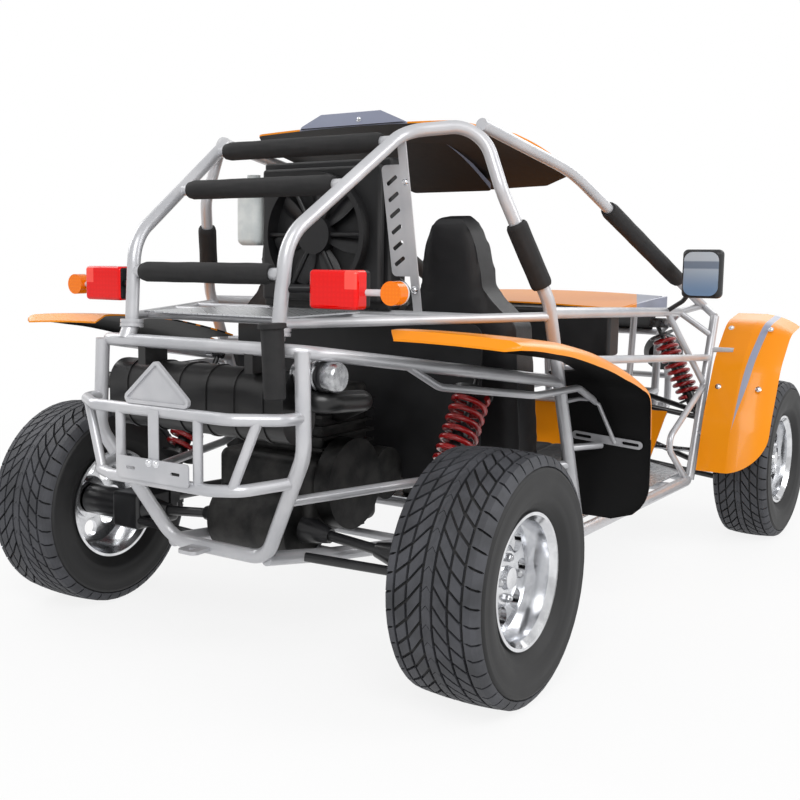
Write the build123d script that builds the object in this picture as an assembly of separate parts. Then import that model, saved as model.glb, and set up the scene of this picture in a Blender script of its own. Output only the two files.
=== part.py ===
from build123d import *
from math import cos, pi, radians, sin, tan
import os

# Dune buggy, millimetres: X to the right, Y forward, Z up from the ground.

# Driving dimensions
wheelbase = 2100
rear_track = 1384  # between the middles of the rear tyres
front_track = 1508
rear_overhang = 445  # rear axle to the plate bracket's rear face
front_overhang = 420  # front axle to the front bumper's face
rear_tyre_d = 614
rear_tyre_w = 245
front_tyre_d = 600
front_tyre_w = 195
rim_d = 332
rear_rim_w = 200
front_rim_w = 150
main_tube = 38
cage_tube = 36
rail_tube = 32
slim_tube = 25
stay_d = 20
pad_wall = 11  # foam sleeve round a cage tube
sill_z = 250
sill_x = 600
floor_plate = 4
belt_z = 845
shelf_z = 905
cage_top_z = 1392
rail_z = 915
seat_x = 300
seat_w = 440
steer_arm = 90  # kingpin to tie-rod eye
kingpin_inset = 60  # kingpin inboard of the front tyre's middle
steering_wheel_d = 330
running_gap = 0.4  # shaft in its bore
soft_gap = 0.3  # foam round its tube
panel = 5  # moulded body panels

rear_axle_y = (rear_overhang - wheelbase - front_overhang) / 2
front_axle_y = rear_axle_y + wheelbase
rear_axle_z = rear_tyre_d / 2
front_axle_z = front_tyre_d / 2
rear_wheel_x = rear_track / 2
front_wheel_x = front_track / 2
kingpin_x = front_wheel_x - kingpin_inset

parts = {}


def back(x, y, z):
    """A place measured forward from the rear axle."""
    return Vector(x, rear_axle_y + y, z)


def fore(x, y, z):
    """A place measured forward from the front axle."""
    return Vector(x, front_axle_y + y, z)


def along(a, b, share):
    return a + (b - a) * share


def at_height(a, b, z):
    """The point at height z on the line from a to b."""
    return along(a, b, (z - a.Z) / (b.Z - a.Z))


def port(point):
    """The same place on the left side."""
    return Vector(-point.X, point.Y, point.Z)


def mirrored(shape):
    return shape.mirror(Plane.YZ)


def rod(a, b, diameter):
    return Solid.make_cylinder(diameter / 2, (b - a).length, Plane(a, z_dir=b - a))


def tube(points, diameter, bend=90):
    """A tube through the points, its corners rounded to the bend radius or what the runs allow."""
    runs = [b - a for a, b in zip(points, points[1:])]
    if len(runs) == 1:
        return rod(points[0], points[1], diameter)
    radii = []
    for before, after in zip(runs, runs[1:]):
        half_turn = radians(before.get_angle(after)) / 2
        radii.append(min(bend, 0.45 * min(before.length, after.length) / tan(half_turn)))
    path = FilletPolyline(*points, radius=radii)
    section = Plane(points[0], z_dir=runs[0]) * Circle(diameter / 2)
    return sweep(section, path=path).solid()


def block(centre, size, rounding=0):
    shape = Pos(*centre) * Box(*size)
    return fillet(shape.edges(), rounding).solid() if rounding else shape.solid()


run_boxes = {}  # each solid with the boxes along it, so that only pieces that come close are cut


def boxes_of(shape):
    key = hash(shape)
    if key not in run_boxes:
        box = shape.bounding_box()
        run_boxes[key] = (shape, [(tuple(box.min), tuple(box.max))])
    return run_boxes[key][1]


def meets(a, b):
    for low, high in boxes_of(a):
        for other_low, other_high in boxes_of(b):
            if all(low[i] <= other_high[i] and other_low[i] <= high[i] for i in range(3)):
                return True
    return False


def boxes_along(points, radius, step=120):
    boxes = []
    for a, b in zip(points, points[1:]):
        count = 1 + int((b - a).length / step)
        for i in range(count):
            start, end = along(a, b, i / count), along(a, b, (i + 1) / count)
            low = tuple(min(p, q) - radius for p, q in zip(start, end))
            high = tuple(max(p, q) + radius for p, q in zip(start, end))
            boxes.append((low, high))
    return boxes


def add(node, *shapes):
    parts.setdefault(node, []).extend(shapes)


def coped(shape, *nodes):
    """The shape cut to the surface of every piece of the named nodes that it runs into."""
    near = [s for node in nodes for s in parts.get(node, []) if meets(shape, s)]
    if near:
        shape = max(shape.cut(*near).solids(), key=lambda s: s.volume)
    return shape


frame_nodes = ("roll_cage", "rear_frame", "floor_frame", "side_frames", "front_frame")
tube_nodes = frame_nodes + ("rear_bumper", "front_bumper")


def weld(node, points, diameter, bend=90, both=True):
    """Tubes coped to the ones already in the frame, on both sides unless they cross it."""
    for side in (points, [port(p) for p in points]) if both else (points,):
        whole = tube(side, diameter, bend)
        boxes = boxes_along(side, diameter / 2)
        run_boxes[hash(whole)] = (whole, boxes)
        piece = coped(whole, *tube_nodes)
        run_boxes[hash(piece)] = (piece, boxes)
        add(node, piece)


# Frame joints, right side
cage_foot = back(247, -263, belt_z + 45)
cage_knee = back(255, -240, 1110)
cage_corner = back(308, 194, cage_top_z)
roof_corner = back(455, 345, cage_top_z + 23)
pillar_bend = back(522, 345, 1235)
pillar_waist = back(610, 460, 945)
pillar_foot = back(sill_x, 740, sill_z)
roof_bend = back(470, 900, 1322)
cowl_end = back(500, 1845, 858)
pillar_toe = fore(540, -105, 878)
belt_corner = back(335, -285, belt_z)
hoop_shoulder = back(345, -290, 600)
hoop_heel = back(160, -200, 300)
belt_end = at_height(pillar_waist, pillar_foot, 720)
rail_root = at_height(pillar_waist, pillar_foot, rail_z)
sill_turn = back(sill_x, 700, sill_z)
sill_neck = back(300, 330, 256)
sill_tail = back(200, 40, 268)
sill_nose = fore(sill_x, -355, sill_z)
nose_neck = fore(300, -140, 252)
nose_foot = fore(235, 255, 315)
nose_head = fore(255, 235, 745)
post_head = fore(605, -165, 842)

# Bars across the rear of the cage: lower end and upper end of the run, share of it
bar_d = 30
rear_bars = (
    (cage_foot, cage_knee, 0.61),
    (cage_knee, cage_corner, 0.48),
    (cage_knee, cage_corner, 0.90),
)


def build_roll_cage():
    hoop = [cage_foot, cage_knee, cage_corner, roof_corner, pillar_bend, pillar_waist, pillar_foot]
    weld("roll_cage", hoop, cage_tube, bend=130)
    weld("roll_cage", [roof_corner, roof_bend, pillar_toe], cage_tube - 2, bend=900)
    for low, high, share in rear_bars:
        end = along(low, high, share)
        weld("roll_cage", [port(end), end], bar_d, both=False)
    weld("roll_cage", [port(cowl_end), cowl_end], slim_tube + 3, both=False)


def build_floor_frame():
    sill = [hoop_heel, sill_tail, sill_neck, sill_turn, sill_nose, nose_neck, nose_foot]
    weld("floor_frame", sill, main_tube, bend=110)
    for y in (760, 1180, 1560):
        end = back(sill_x, y, sill_z)
        weld("floor_frame", [port(end), end], rail_tube, both=False)
    for y, x, z in ((60, 210, 266), (320, 294, 257)):
        end = back(x, y, z)
        weld("floor_frame", [port(end), end], slim_tube, both=False)
    weld("floor_frame", [port(nose_neck), nose_neck], slim_tube, both=False)


def build_rear_frame():
    belt = [port(belt_end), port(belt_corner), belt_corner, belt_end]
    weld("rear_frame", belt, main_tube - 4, bend=80, both=False)
    half = [hoop_heel, hoop_shoulder, belt_corner]
    weld("rear_frame", [port(p) for p in reversed(half)] + half, main_tube, bend=90, both=False)
    socket_root = Vector(cage_foot.X, belt_corner.Y, belt_z)
    weld("rear_frame", [socket_root, cage_foot], cage_tube + 8)
    rack_start = along(cage_foot, cage_knee, 0.07)
    rack_end = at_height(pillar_waist, pillar_foot, shelf_z)
    weld("rear_frame", [rack_start, rack_end], slim_tube)
    for share in (0.14, 0.46, 0.75):
        end = along(rack_start, rack_end, share)
        weld("rear_frame", [port(end), end], slim_tube - 3, both=False)
    low = at_height(hoop_heel, hoop_shoulder, 470)
    high = at_height(pillar_waist, pillar_foot, 470)
    weld("rear_frame", [low, back(440, 330, 470), high], slim_tube, bend=120)


def build_side_frames():
    weld("side_frames", [sill_nose, post_head], rail_tube, bend=60)
    weld("side_frames", [rail_root, cowl_end], rail_tube)
    weld("side_frames", [cowl_end, pillar_toe], slim_tube)
    weld("side_frames", [pillar_toe, post_head], slim_tube)
    weld("side_frames", [cowl_end, at_height(sill_nose, post_head, 770)], slim_tube - 3)
    dash_end = along(rail_root, cowl_end, 0.62)
    weld("side_frames", [port(dash_end), dash_end], slim_tube, both=False)
    post_mid = at_height(sill_nose, post_head, 590)
    post_high = at_height(sill_nose, post_head, 690)
    weld("side_frames", [at_height(pillar_waist, pillar_foot, 780), post_high], slim_tube)
    weld("side_frames", [along(rail_root, cowl_end, 0.88), post_mid], slim_tube - 3)
    brace_tip = back(sill_x, 1470, 420)
    weld("side_frames", [post_mid, brace_tip, along(sill_nose, sill_turn, 0.03)], slim_tube - 3, bend=40)


def build_front_frame():
    weld("front_frame", [nose_foot, nose_head, cowl_end], rail_tube, bend=110)
    weld("front_frame", [port(nose_head), nose_head], slim_tube, both=False)
    weld("front_frame", [port(nose_foot), nose_foot], slim_tube, both=False)
    arm_rail = list(arm_rail_ends)
    weld("front_frame", arm_rail, slim_tube)
    shin = [fore(300, -150, sill_z), fore(290, -190, 480), Vector(330, cowl_end.Y, cowl_end.Z)]
    weld("front_frame", shin, slim_tube, bend=60)
    for rail_end in arm_rail:
        weld("front_frame", [port(rail_end), rail_end], slim_tube - 3, both=False)


bumper_r = main_tube / 2 - 4


def build_bumpers():
    rear_face = bumper_r + 7 - rear_overhang
    top_root = at_height(hoop_shoulder, belt_corner, 690)
    top = [top_root, back(336, -350, 690), back(225, rear_face, 690)]
    weld("rear_bumper", top + [port(p) for p in reversed(top)], 2 * bumper_r, bend=60, both=False)
    low_root = at_height(hoop_heel, hoop_shoulder, 525)
    low = [low_root, back(240, -395, 518), back(165, rear_face, 515)]
    weld("rear_bumper", low + [port(p) for p in reversed(low)], 2 * bumper_r, bend=60, both=False)
    weld("rear_bumper", [back(130, rear_face, 515), back(130, rear_face, 690)], slim_tube)
    weld("rear_bumper", [back(218, -404, 517), back(285, -386, 690)], slim_tube)
    front_face = front_overhang - bumper_r
    low_end, high_end = fore(245, front_face, 400), fore(245, front_face, 560)
    hoop = [nose_foot, low_end, high_end, along(nose_foot, nose_head, 0.9)]
    weld("front_bumper", hoop, 2 * bumper_r, bend=80)
    for z in (415, 545):
        end = fore(245, front_face, z)
        weld("front_bumper", [port(end), end], slim_tube, both=False)


bracket_w = 236
bracket_h = 56
bracket_t = 4
bracket_z = 546
slot_spacing = 150
slot_length = 30
slot_r = 4


def build_plate_bracket():
    """Slotted plate behind the lower bumper bar, with the triangular stiffener above the upper bar."""
    face_y = rear_axle_y - rear_overhang
    plate = block((0, face_y + bracket_t / 2, bracket_z), (bracket_w, bracket_t, bracket_h))
    plate = fillet(plate.edges().filter_by(Axis.Y), 8).solid()
    across = Plane(origin=(0, face_y, bracket_z), z_dir=(0, -1, 0), x_dir=(1, 0, 0))
    for x in (-slot_spacing / 2, slot_spacing / 2):
        plate -= extrude(across * (Pos(x, 0) * SlotOverall(slot_length, 2 * slot_r)), -2 * bracket_t)
    strap = block((0, face_y + bracket_t + 1.5, 610), (34, 3, 170))
    add("plate_bracket", coped(plate.solid(), "rear_bumper"), coped(strap, "rear_bumper"))
    base_z = 690 + bumper_r
    outline = Polyline((-130, base_z), (130, base_z), (0, base_z + 112), close=True)
    face = fillet(make_face(outline).vertices(), 14)
    rim = face - offset(face, -9)
    upright = Plane(origin=(0, face_y + 24, 0), z_dir=(0, -1, 0), x_dir=(1, 0, 0))
    triangle = extrude(upright * face, 3) + extrude(upright * rim, 10)
    add("plate_bracket", coped(triangle.solid(), "rear_bumper"))


def sleeve(a, b, diameter):
    bore = diameter / 2 + soft_gap
    shell = rod(a, b, diameter + 2 * pad_wall) - rod(a, b, 2 * bore)
    return shell.solid()


def build_cage_pads():
    for low, high, share in rear_bars:
        end = along(low, high, share)
        inner = Vector(end.X - cage_tube, end.Y, end.Z)
        add("cage_pads", sleeve(port(inner), inner, bar_d))
    runs = (
        (along(pillar_bend, pillar_waist, 0.28), along(pillar_bend, pillar_waist, 0.86), cage_tube),
        (along(roof_bend, pillar_toe, 0.322), along(roof_bend, pillar_toe, 0.77), cage_tube - 2),
    )
    for a, b, diameter in runs:
        pad = sleeve(a, b, diameter)
        add("cage_pads", pad, mirrored(pad))


def bowed_band(half_width, rise, thickness, lift=0):
    """A strip crowned by an arc across X, its underside lift above the line it follows."""
    lower = ThreePointArc((-half_width, lift - rise), (0, lift), (half_width, lift - rise))
    top = lift + thickness
    upper = ThreePointArc((-half_width, top - rise), (0, top), (half_width, top - rise))
    ends = (Line(lower @ 0, upper @ 0), Line(lower @ 1, upper @ 1))
    return make_face([lower, upper, *ends])


def panel_along(points, bends, section):
    """The section carried along a path in the YZ plane, starting square to it."""
    path = FilletPolyline(*points, radius=bends)
    start = Plane(points[0], x_dir=(1, 0, 0), z_dir=points[1] - points[0])
    flat = section if (start.y_dir.Z > 0) else section.mirror(Plane.XZ)
    return sweep(start * flat, path=path)


def plan_prism(corners, rounding, low, high):
    outline = make_face(Polyline(*corners, close=True))
    if rounding:
        outline = fillet(outline.vertices(), rounding)
    return Pos(0, 0, low) * extrude(outline, high - low)


def both_sides(right):
    """A closed plan outline from its right half."""
    return right + [(-x, y) for x, y in reversed(right)]


def build_roof():
    """Crowned skin on the roof rails, with a raised band that sinks into it towards the front."""
    rear_end, middle, front_end = back(0, 380, 1444), back(0, 720, 1394), back(0, 1105, 1282)
    rise, band_half, band_h = 15, 190, 38
    skin = panel_along([rear_end, middle, front_end], [1400], bowed_band(470, rise, panel))
    flank = 85
    section = make_face(Polyline(
        (-band_half, 2), (band_half, 2), (band_half - flank, band_h), (flank - band_half, band_h), close=True,
    ))
    sunk = along(middle, front_end, 0.75) - Vector(0, 0, band_h)
    raised = panel_along([rear_end, middle, sunk], [1400], section)
    y = rear_axle_y
    outline = both_sides([(350, y + 400), (448, y + 560), (464, y + 930), (320, y + 1050), (120, y + 1085)])
    scoop = both_sides([(band_half, y + 392), (band_half - 40, y + 1000)])
    skin = skin & plan_prism(outline, 30, 1000, 1700)
    raised = raised & plan_prism(scoop, 16, 1000, 1700)
    add("roof_panel", coped((skin + raised).solid(), "roll_cage"))


def build_hood():
    """Rises from the dash bar to a crest at the cowl, then falls to the bar across the nose."""
    path = [back(0, 1290, 899), back(0, 1840, 931), fore(0, 300, 736)]
    skin = panel_along(path, [500], bowed_band(470, 14, panel))
    outline = both_sides([
        (470, rear_axle_y + 1305), (462, front_axle_y - 330), (215, front_axle_y + 262),
    ])
    skin = skin & plan_prism(outline, 40, 500, 1200)
    add("hood", coped(skin.solid(), "roll_cage", "side_frames", "front_frame"))


def fender_section(inner, outer, drop, thickness):
    """Flat inside, rolling down to the outer edge by an arc."""
    bend = inner + 0.45 * (outer - inner)
    middle = (bend + outer) / 2
    top_edge, low_edge = (outer, thickness - drop), (outer - thickness, -drop)
    edges = [
        Line((inner, thickness), (bend, thickness)),
        ThreePointArc((bend, thickness), (middle, thickness - drop * 0.27), top_edge),
        Line(top_edge, low_edge),
        ThreePointArc(low_edge, (middle - 1, -drop * 0.29), (bend, 0)),
        Line((bend, 0), (inner, 0)),
        Line((inner, 0), (inner, thickness)),
    ]
    return make_face(edges)


# Fender middle lines, forward of their axle and up
rear_fender_line = ((-165, 868), (130, 872), (470, 800), (690, 660), (764, 470), (764, 300))
front_fender_line = ((45, 842), (-95, 815), (-225, 690), (-330, 480), (-385, 292))
rear_fender_path = [back(0, y, z) for y, z in rear_fender_line]
front_fender_path = [fore(0, y, z) for y, z in front_fender_line]


# Rear fender in plan, right of the middle and forward of the axle: outer edge, then inner edge
rear_fender_outer = (
    (515, -172), (563, 100), (666, 400), (785, 610), (805, 720), (810, 900),
)
rear_fender_inner = ((545, 900), (545, 655), (636, 640), (636, 430), (540, 330), (465, 310), (465, -172))


def corner_prism(outer, low, radius):
    """All inside x = outer and above z = low, with the corner between them rounded."""
    face = make_face(Polyline((300, 1200), (outer, 1200), (outer, low), (300, low), close=True))
    corner = face.vertices().sort_by(lambda v: v.X - v.Y)[-1]
    return extrude(Plane.XZ * fillet(corner, radius), 3000, both=True)


def build_fenders():
    rear_edge, front_edge = 801, 858
    rear_section = Pos(630, panel / 2) * Rectangle(350, panel)
    front_section = fender_section(632, front_edge, 46, panel)
    rear = panel_along(rear_fender_path, [500, 420, 260, 160], rear_section)
    front = panel_along(front_fender_path, [160, 260, 420], front_section)
    outline = [(x, rear_axle_y + y) for x, y in rear_fender_outer + rear_fender_inner]
    rear = rear & plan_prism(outline, 0, 200, 1000)
    rear = (rear & corner_prism(rear_edge, rear_fender_line[-1][1], 110)).solid()
    front = (front & corner_prism(front_edge, front_fender_line[-1][1], 140)).solid()
    for node, shape in (("rear_fenders", rear), ("front_fenders", front)):
        add(node, shape, mirrored(shape))


def build_fender_brackets():
    belt_root = along(belt_corner, belt_end, 0.35)
    high_run = [belt_root, back(478, 110, 735), back(640, 330, 705), back(660, 560, 705), back(660, 720, 640)]
    low_run = [at_height(pillar_waist, pillar_foot, 520), back(660, 740, 520)]
    stays = [tube(high_run, stay_d, bend=60), tube(low_run, stay_d)]
    for z, run in ((420, 3), (720, 1)):
        on_fender = at_height(front_fender_path[run], front_fender_path[run + 1], z)
        end = Vector(690, on_fender.Y - 4, z)
        stays.append(rod(at_height(sill_nose, post_head, z), end, stay_d))
    for stay in stays:
        stay = coped(stay, *tube_nodes, "rear_fenders", "front_fenders")
        add("fender_brackets", stay, mirrored(stay))


def build_floor():
    top = sill_z + main_tube / 2
    edge = sill_x - rail_tube
    tail, nose = sill_turn.Y + 45, sill_nose.Y - 15
    corners = both_sides([(edge, tail), (edge, nose), (nose_neck.X, nose_neck.Y)])
    plate = plan_prism(corners, 12, top, top + floor_plate)
    add("floor_pan", coped(plate.solid(), *tube_nodes))
    toe_path = [fore(0, -395, top + floor_plate + 1), fore(0, -190, 470)]
    board = block((0, 0, 0), (900, 4, (toe_path[1] - toe_path[0]).length))
    slope = Plane(along(*toe_path, 0.5), x_dir=(1, 0, 0), z_dir=toe_path[1] - toe_path[0])
    add("toe_board", coped((slope * board).solid(), *tube_nodes, "floor_pan", "steering_column"))


seat_floor = 345
seat_back_y = 470


def build_seats():
    """High-back bucket seat: a side profile crossed with a front outline."""
    base_y = rear_axle_y + seat_back_y
    profile = Polyline(
        (base_y + 60, seat_floor), (base_y + 560, seat_floor + 40), (base_y + 565, seat_floor + 125),
        (base_y + 190, seat_floor + 100), (base_y + 70, 1175), (base_y - 30, 1165), close=True,
    )
    side = fillet(make_face(profile).vertices(), 28)
    body = extrude(Plane.YZ * side, seat_w / 2, both=True)
    half = seat_w / 2
    front = Polyline(
        (-half + 20, seat_floor - 20), (half - 20, seat_floor - 20), (half, 560), (half, 880), (138, 990),
        (112, 1190), (-112, 1190), (-138, 990), (-half, 880), (-half, 560), close=True,
    )
    outline = make_face(front)
    outline = fillet(outline.vertices().filter_by(lambda v: v.Y < 1100), 45)
    outline = fillet(outline.vertices().filter_by(lambda v: v.Y > 1180), 88)
    shell = body & extrude(Plane.XZ * outline, 2000, both=True)
    plate_top = sill_z + main_tube / 2 + floor_plate
    for node, x in (("seat_left", -seat_x), ("seat_right", seat_x)):
        add(node, Pos(x, 0, 0) * shell.solid())
        for side_x in (-130, 130):
            runner = block((x + side_x, base_y + 300, plate_top + 60), (30, 420, 120))
            runner -= Pos(x, 0, -soft_gap) * shell
            add("seat_runners", coped(runner.solid(), *tube_nodes))


def build_dash():
    y = rear_axle_y + 1300
    box = block((0, y + 45, 805), (900, 90, 160), 12)
    pod = block((-seat_x, y - 6, 800), (230, 60, 110), 18)
    add("dash", coped((box + pod).solid(), *tube_nodes, "hood", "steering_column"))


wheel_hub = Vector(-seat_x, rear_axle_y + 985, 850)
column_dir = Vector(0, cos(radians(24)), -sin(radians(24)))
shaft_d = 22
column_d = 44
grip_r = 14


def build_steering():
    facing = Plane(wheel_hub, x_dir=(1, 0, 0), z_dir=column_dir)
    ring_r = steering_wheel_d / 2 - grip_r
    wheel = rod(Vector(0, 0, 0), Vector(0, 0, 44), 68)
    wheel += rod(Vector(0, 0, 30), Vector(0, 0, 300), shaft_d)
    for turn in (90, 210, 330):
        arm = Vector(ring_r, 0, 0).rotate(Axis.Z, turn)
        wheel += rod(Vector(0, 0, 20), arm, 20)
    wheel += Rot(0, 0, 45) * Torus(ring_r, grip_r)
    add("steering_wheel", (facing * wheel).solid())
    start = wheel_hub + column_dir * 60
    housing = rod(start, wheel_hub + column_dir * 330, column_d)
    housing -= rod(start, wheel_hub + column_dir * (300 + 6), shaft_d + 2 * running_gap)
    add("steering_column", housing.solid())
    joint = wheel_hub + column_dir * 330
    pinion = Vector(-seat_x + 130, front_axle_y - steer_arm, tie_z)
    add("steering_column", coped(rod(joint, pinion, 18), *tube_nodes, "steering_column", "steering_rack"))


tie_z = front_axle_z + 14
rack_d = 26
tie_d = 18
rack_half = 150


def build_rack():
    y = front_axle_y - steer_arm
    bar = rod(Vector(-rack_half - 90, y, tie_z), Vector(rack_half + 90, y, tie_z), rack_d)
    eye = kingpin_x + 13
    ties = rod(Vector(-eye, y, tie_z), Vector(eye, y, tie_z), tie_d)
    add("steering_rack", (bar + ties).solid())
    housing = rod(Vector(-rack_half, y, tie_z), Vector(rack_half, y, tie_z), rack_d + 26)
    housing -= rod(Vector(-rack_half, y, tie_z), Vector(rack_half, y, tie_z), rack_d + 2 * running_gap)
    add("steering_column", housing.solid())


rear_centre = back(rear_wheel_x, 0, rear_axle_z)
front_centre = fore(front_wheel_x, 0, front_axle_z)
hub_flange_r = 62
rear_stub_d = 36
front_stub_d = 32
bead_r = rim_d / 2 - 12
bead_gap = 0.2
disc_back = 22  # disc's hub face, outboard of the wheel's middle
window_r = 25
window_ring_r = 98
windows = 8


def tyre(diameter, width, rim_w):
    """Turned about X: crowned tread, rounded shoulders, sidewalls down to the bead."""
    outer, half, seat = diameter / 2, width / 2, rim_w / 2 - 9
    tread, flange = half - 16, rim_d / 2 + 3
    belly = (outer + flange) / 2 + 12
    right = [
        ThreePointArc((tread, outer - 6), (half - 4, outer - 24), (half, belly)),
        ThreePointArc((half, belly), (half - 4, (belly + flange) / 2), (seat + 2, flange)),
        Line((seat + 2, flange), (seat - 2, bead_r + bead_gap)),
    ]
    left = [edge.mirror(Plane.YZ) for edge in right]
    crown = ThreePointArc((-tread, outer - 6), (0, outer), (tread, outer - 6))
    bead = Line((-seat + 2, bead_r + bead_gap), (seat - 2, bead_r + bead_gap))
    return revolve(make_face([crown, bead, *right, *left]), Axis.X).solid()


def rim(width, stub_d, stub_end):
    """Turned about X: barrel with both flanges, dished disc with round windows, hub flange and stub axle."""
    half, lip = width / 2, rim_d / 2
    barrel = Polyline(
        (-half, lip), (-half + 7, lip), (-half + 9, bead_r), (half - 9, bead_r), (half - 7, lip), (half, lip),
        (half, lip - 8), (half - 16, lip - 19), (-half + 16, lip - 19), (-half, lip - 8), close=True,
    )
    disc = Polyline(
        (10, lip - 18), (26, lip - 18), (34, 112), (30, 80), (42, 64), (42, 30), (56, 26), (56, 0),
        (disc_back, 0), (disc_back, 70), (16, 112), close=True,
    )
    stub = Polyline(
        (disc_back, 0), (disc_back, hub_flange_r), (disc_back - 14, hub_flange_r),
        (disc_back - 14, stub_d / 2), (stub_end, stub_d / 2), (stub_end, 0), close=True,
    )
    body = Part()
    for outline in (barrel, disc, stub):
        body += revolve(make_face(outline), Axis.X)
    for i in range(windows):
        turn = 2 * pi * i / windows
        place = Pos(25, window_ring_r * cos(turn), window_ring_r * sin(turn))
        body -= place * Rot(0, 90, 0) * Cylinder(window_r, 60)
    return body.solid()


def build_wheels():
    for end, centre, diameter, width, rim_w, stub_d, stub_end in (
        ("rear", rear_centre, rear_tyre_d, rear_tyre_w, rear_rim_w, rear_stub_d, rear_stub_end),
        ("front", front_centre, front_tyre_d, front_tyre_w, front_rim_w, front_stub_d, front_stub_end),
    ):
        place = Pos(*centre)
        rubber = place * tyre(diameter, width, rim_w)
        metal = place * rim(rim_w, stub_d, stub_end)
        add(f"{end}_tyre_right", rubber)
        add(f"{end}_rim_right", metal)
        add(f"{end}_tyre_left", mirrored(rubber))
        add(f"{end}_rim_left", mirrored(metal))


rear_stub_end = -130
front_stub_end = -34
stub_clear = 6
bearing_d = 92
arm_x = 520
arm_d = 42
carrier_x = arm_x - 14
carrier_w = 112
carrier_rear, carrier_front = -48, 130
trail_foot = along(sill_neck, sill_turn, 0.33)
trail_pivot = trail_foot + Vector(0, 0, 78)
rear_eye_low = back(468, 108, 385)
shock_root = along(belt_corner, belt_end, 0.748)
rear_eye_top = Vector(rear_eye_low.X, shock_root.Y, shock_root.Z)
eye_d = 32
eye_w = 28
eye_pin_d = 14


def build_rear_arms():
    """Trailing arm with bearing housing, shock ears and lateral link on each side."""
    axle = back(0, 0, rear_axle_z)
    inner = rear_wheel_x + rear_stub_end - 12
    outer = rear_wheel_x + disc_back - 14 - stub_clear
    housing = rod(axle + Vector(inner, 0, 0), axle + Vector(outer, 0, 0), bearing_d)
    carrier_middle = (carrier_rear + carrier_front) / 2
    carrier_size = (carrier_w, carrier_front - carrier_rear, 108)
    carrier = block(axle + Vector(carrier_x, carrier_middle, -4), carrier_size, 12)
    trail = [back(arm_x, 20, rear_axle_z), back(arm_x, 230, rear_axle_z + 6), trail_pivot]
    arm = tube(trail, arm_d, bend=200)
    body = Part() + carrier + housing + arm
    for side in (-1, 1):
        ear_x = rear_eye_low.X + side * (eye_w / 2 + 4.5)
        ear_top = rear_eye_low.Z + 14
        ear_size = (8, 40, ear_top - rear_axle_z)
        body += block((ear_x, rear_eye_low.Y, (rear_axle_z + ear_top) / 2), ear_size)
    pin_half = Vector(eye_w / 2 + 6, 0, 0)
    body += rod(rear_eye_low - pin_half, rear_eye_low + pin_half, eye_pin_d)
    bore_end = axle + Vector(rear_wheel_x + rear_stub_end - stub_clear, 0, 0)
    body -= rod(bore_end, axle + Vector(outer, 0, 0), rear_stub_d + 2 * running_gap)
    link = rod(back(arm_x - 40, -30, rear_axle_z - 30), back(178, -80, 284), slim_tube)
    bush = rod(trail_pivot - Vector(34, 0, 0), trail_pivot + Vector(34, 0, 0), arm_d + 10)
    lug = rod(trail_pivot, trail_foot, 30)
    body = coped((body + link + bush + lug).solid(), "floor_frame", "roll_cage", "rear_frame")
    add("rear_arms", body, mirrored(body))


gearbox_half = 135
gearbox_z = 336


def build_drive_shafts():
    outer = back(carrier_x - carrier_w / 2, 0, rear_axle_z)
    inner = back(gearbox_half, 0, gearbox_z)
    run = inner - outer
    shaft = rod(outer, inner, 28)
    for foot, way in ((outer, 1), (inner, -1)):
        plane = Plane(foot, z_dir=run * way)
        shaft += plane * Solid.make_cone(40, 20, 85)
    body = coped(shaft.solid(), "rear_arms", "engine")
    add("drive_shafts", body, mirrored(body))


def coilover(top, low, across, body_d, spring_d):
    """Damper with an eye at each end and a spring between two collars."""
    length = (top - low).length
    axis = Plane(low, x_dir=across, z_dir=top - low)
    share_low, share_top, neck = 0.17, 0.86, 36
    turned = Rot(0, 90, 0)
    eye = turned * Cylinder(eye_d / 2, eye_w) - turned * Cylinder(eye_pin_d / 2 + bead_gap, eye_w + 2)
    collar_low, collar_top = share_low * length, share_top * length
    upward = (Align.CENTER, Align.CENTER, Align.MIN)
    damper = Pos(0, 0, neck) * Cylinder(body_d / 2, 0.55 * length, align=upward)
    damper += Cylinder(8, length, align=upward)
    for z in (collar_low, collar_top):
        damper += Pos(0, 0, z) * Cylinder(spring_d / 2 + 3, 8)
    for z in (0, length):
        damper -= Pos(0, 0, z) * turned * Cylinder(eye_d / 2 - 1, eye_w)
        damper += Pos(0, 0, z) * eye
    low_z, top_z = collar_low + 4, collar_top - 4
    turns = 9
    pitch = (top_z - low_z) / turns
    points = [(body_d / 2 + 4, low_z)]
    for i in range(turns):
        points += [(spring_d / 2 - 9, low_z + i * pitch), (spring_d / 2, low_z + (i + 0.5) * pitch)]
    points += [(spring_d / 2 - 9, top_z), (body_d / 2 + 4, top_z)]
    coil = revolve(make_face(Plane.XZ * Polyline(*points, close=True)), Axis.Z)
    return (axis * damper).solid(), (axis * coil).solid()


knuckle_half = 90
ball_gap = 6
ball_d = 40
ball_h = 24
ball_pin_d = 16
rail_share = 0.4796  # nose rail point above the front axle
front_eye_top = along(nose_head, cowl_end, rail_share) - Vector(rail_tube / 2 + eye_d / 2 + 16, 0, 0)
arm_rail_ends = (fore(290, -190, 480), fore(250, 247, 495))
high_ball = fore(kingpin_x, 0, front_axle_z + knuckle_half + ball_gap + ball_h / 2)
high_rear = along(*arm_rail_ends, 0.18)
high_front = along(*arm_rail_ends, 0.69)
eye_share = 0.44
front_eye_low = along(along(high_ball, high_rear, eye_share), along(high_ball, high_front, eye_share), 0.5)


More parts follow.
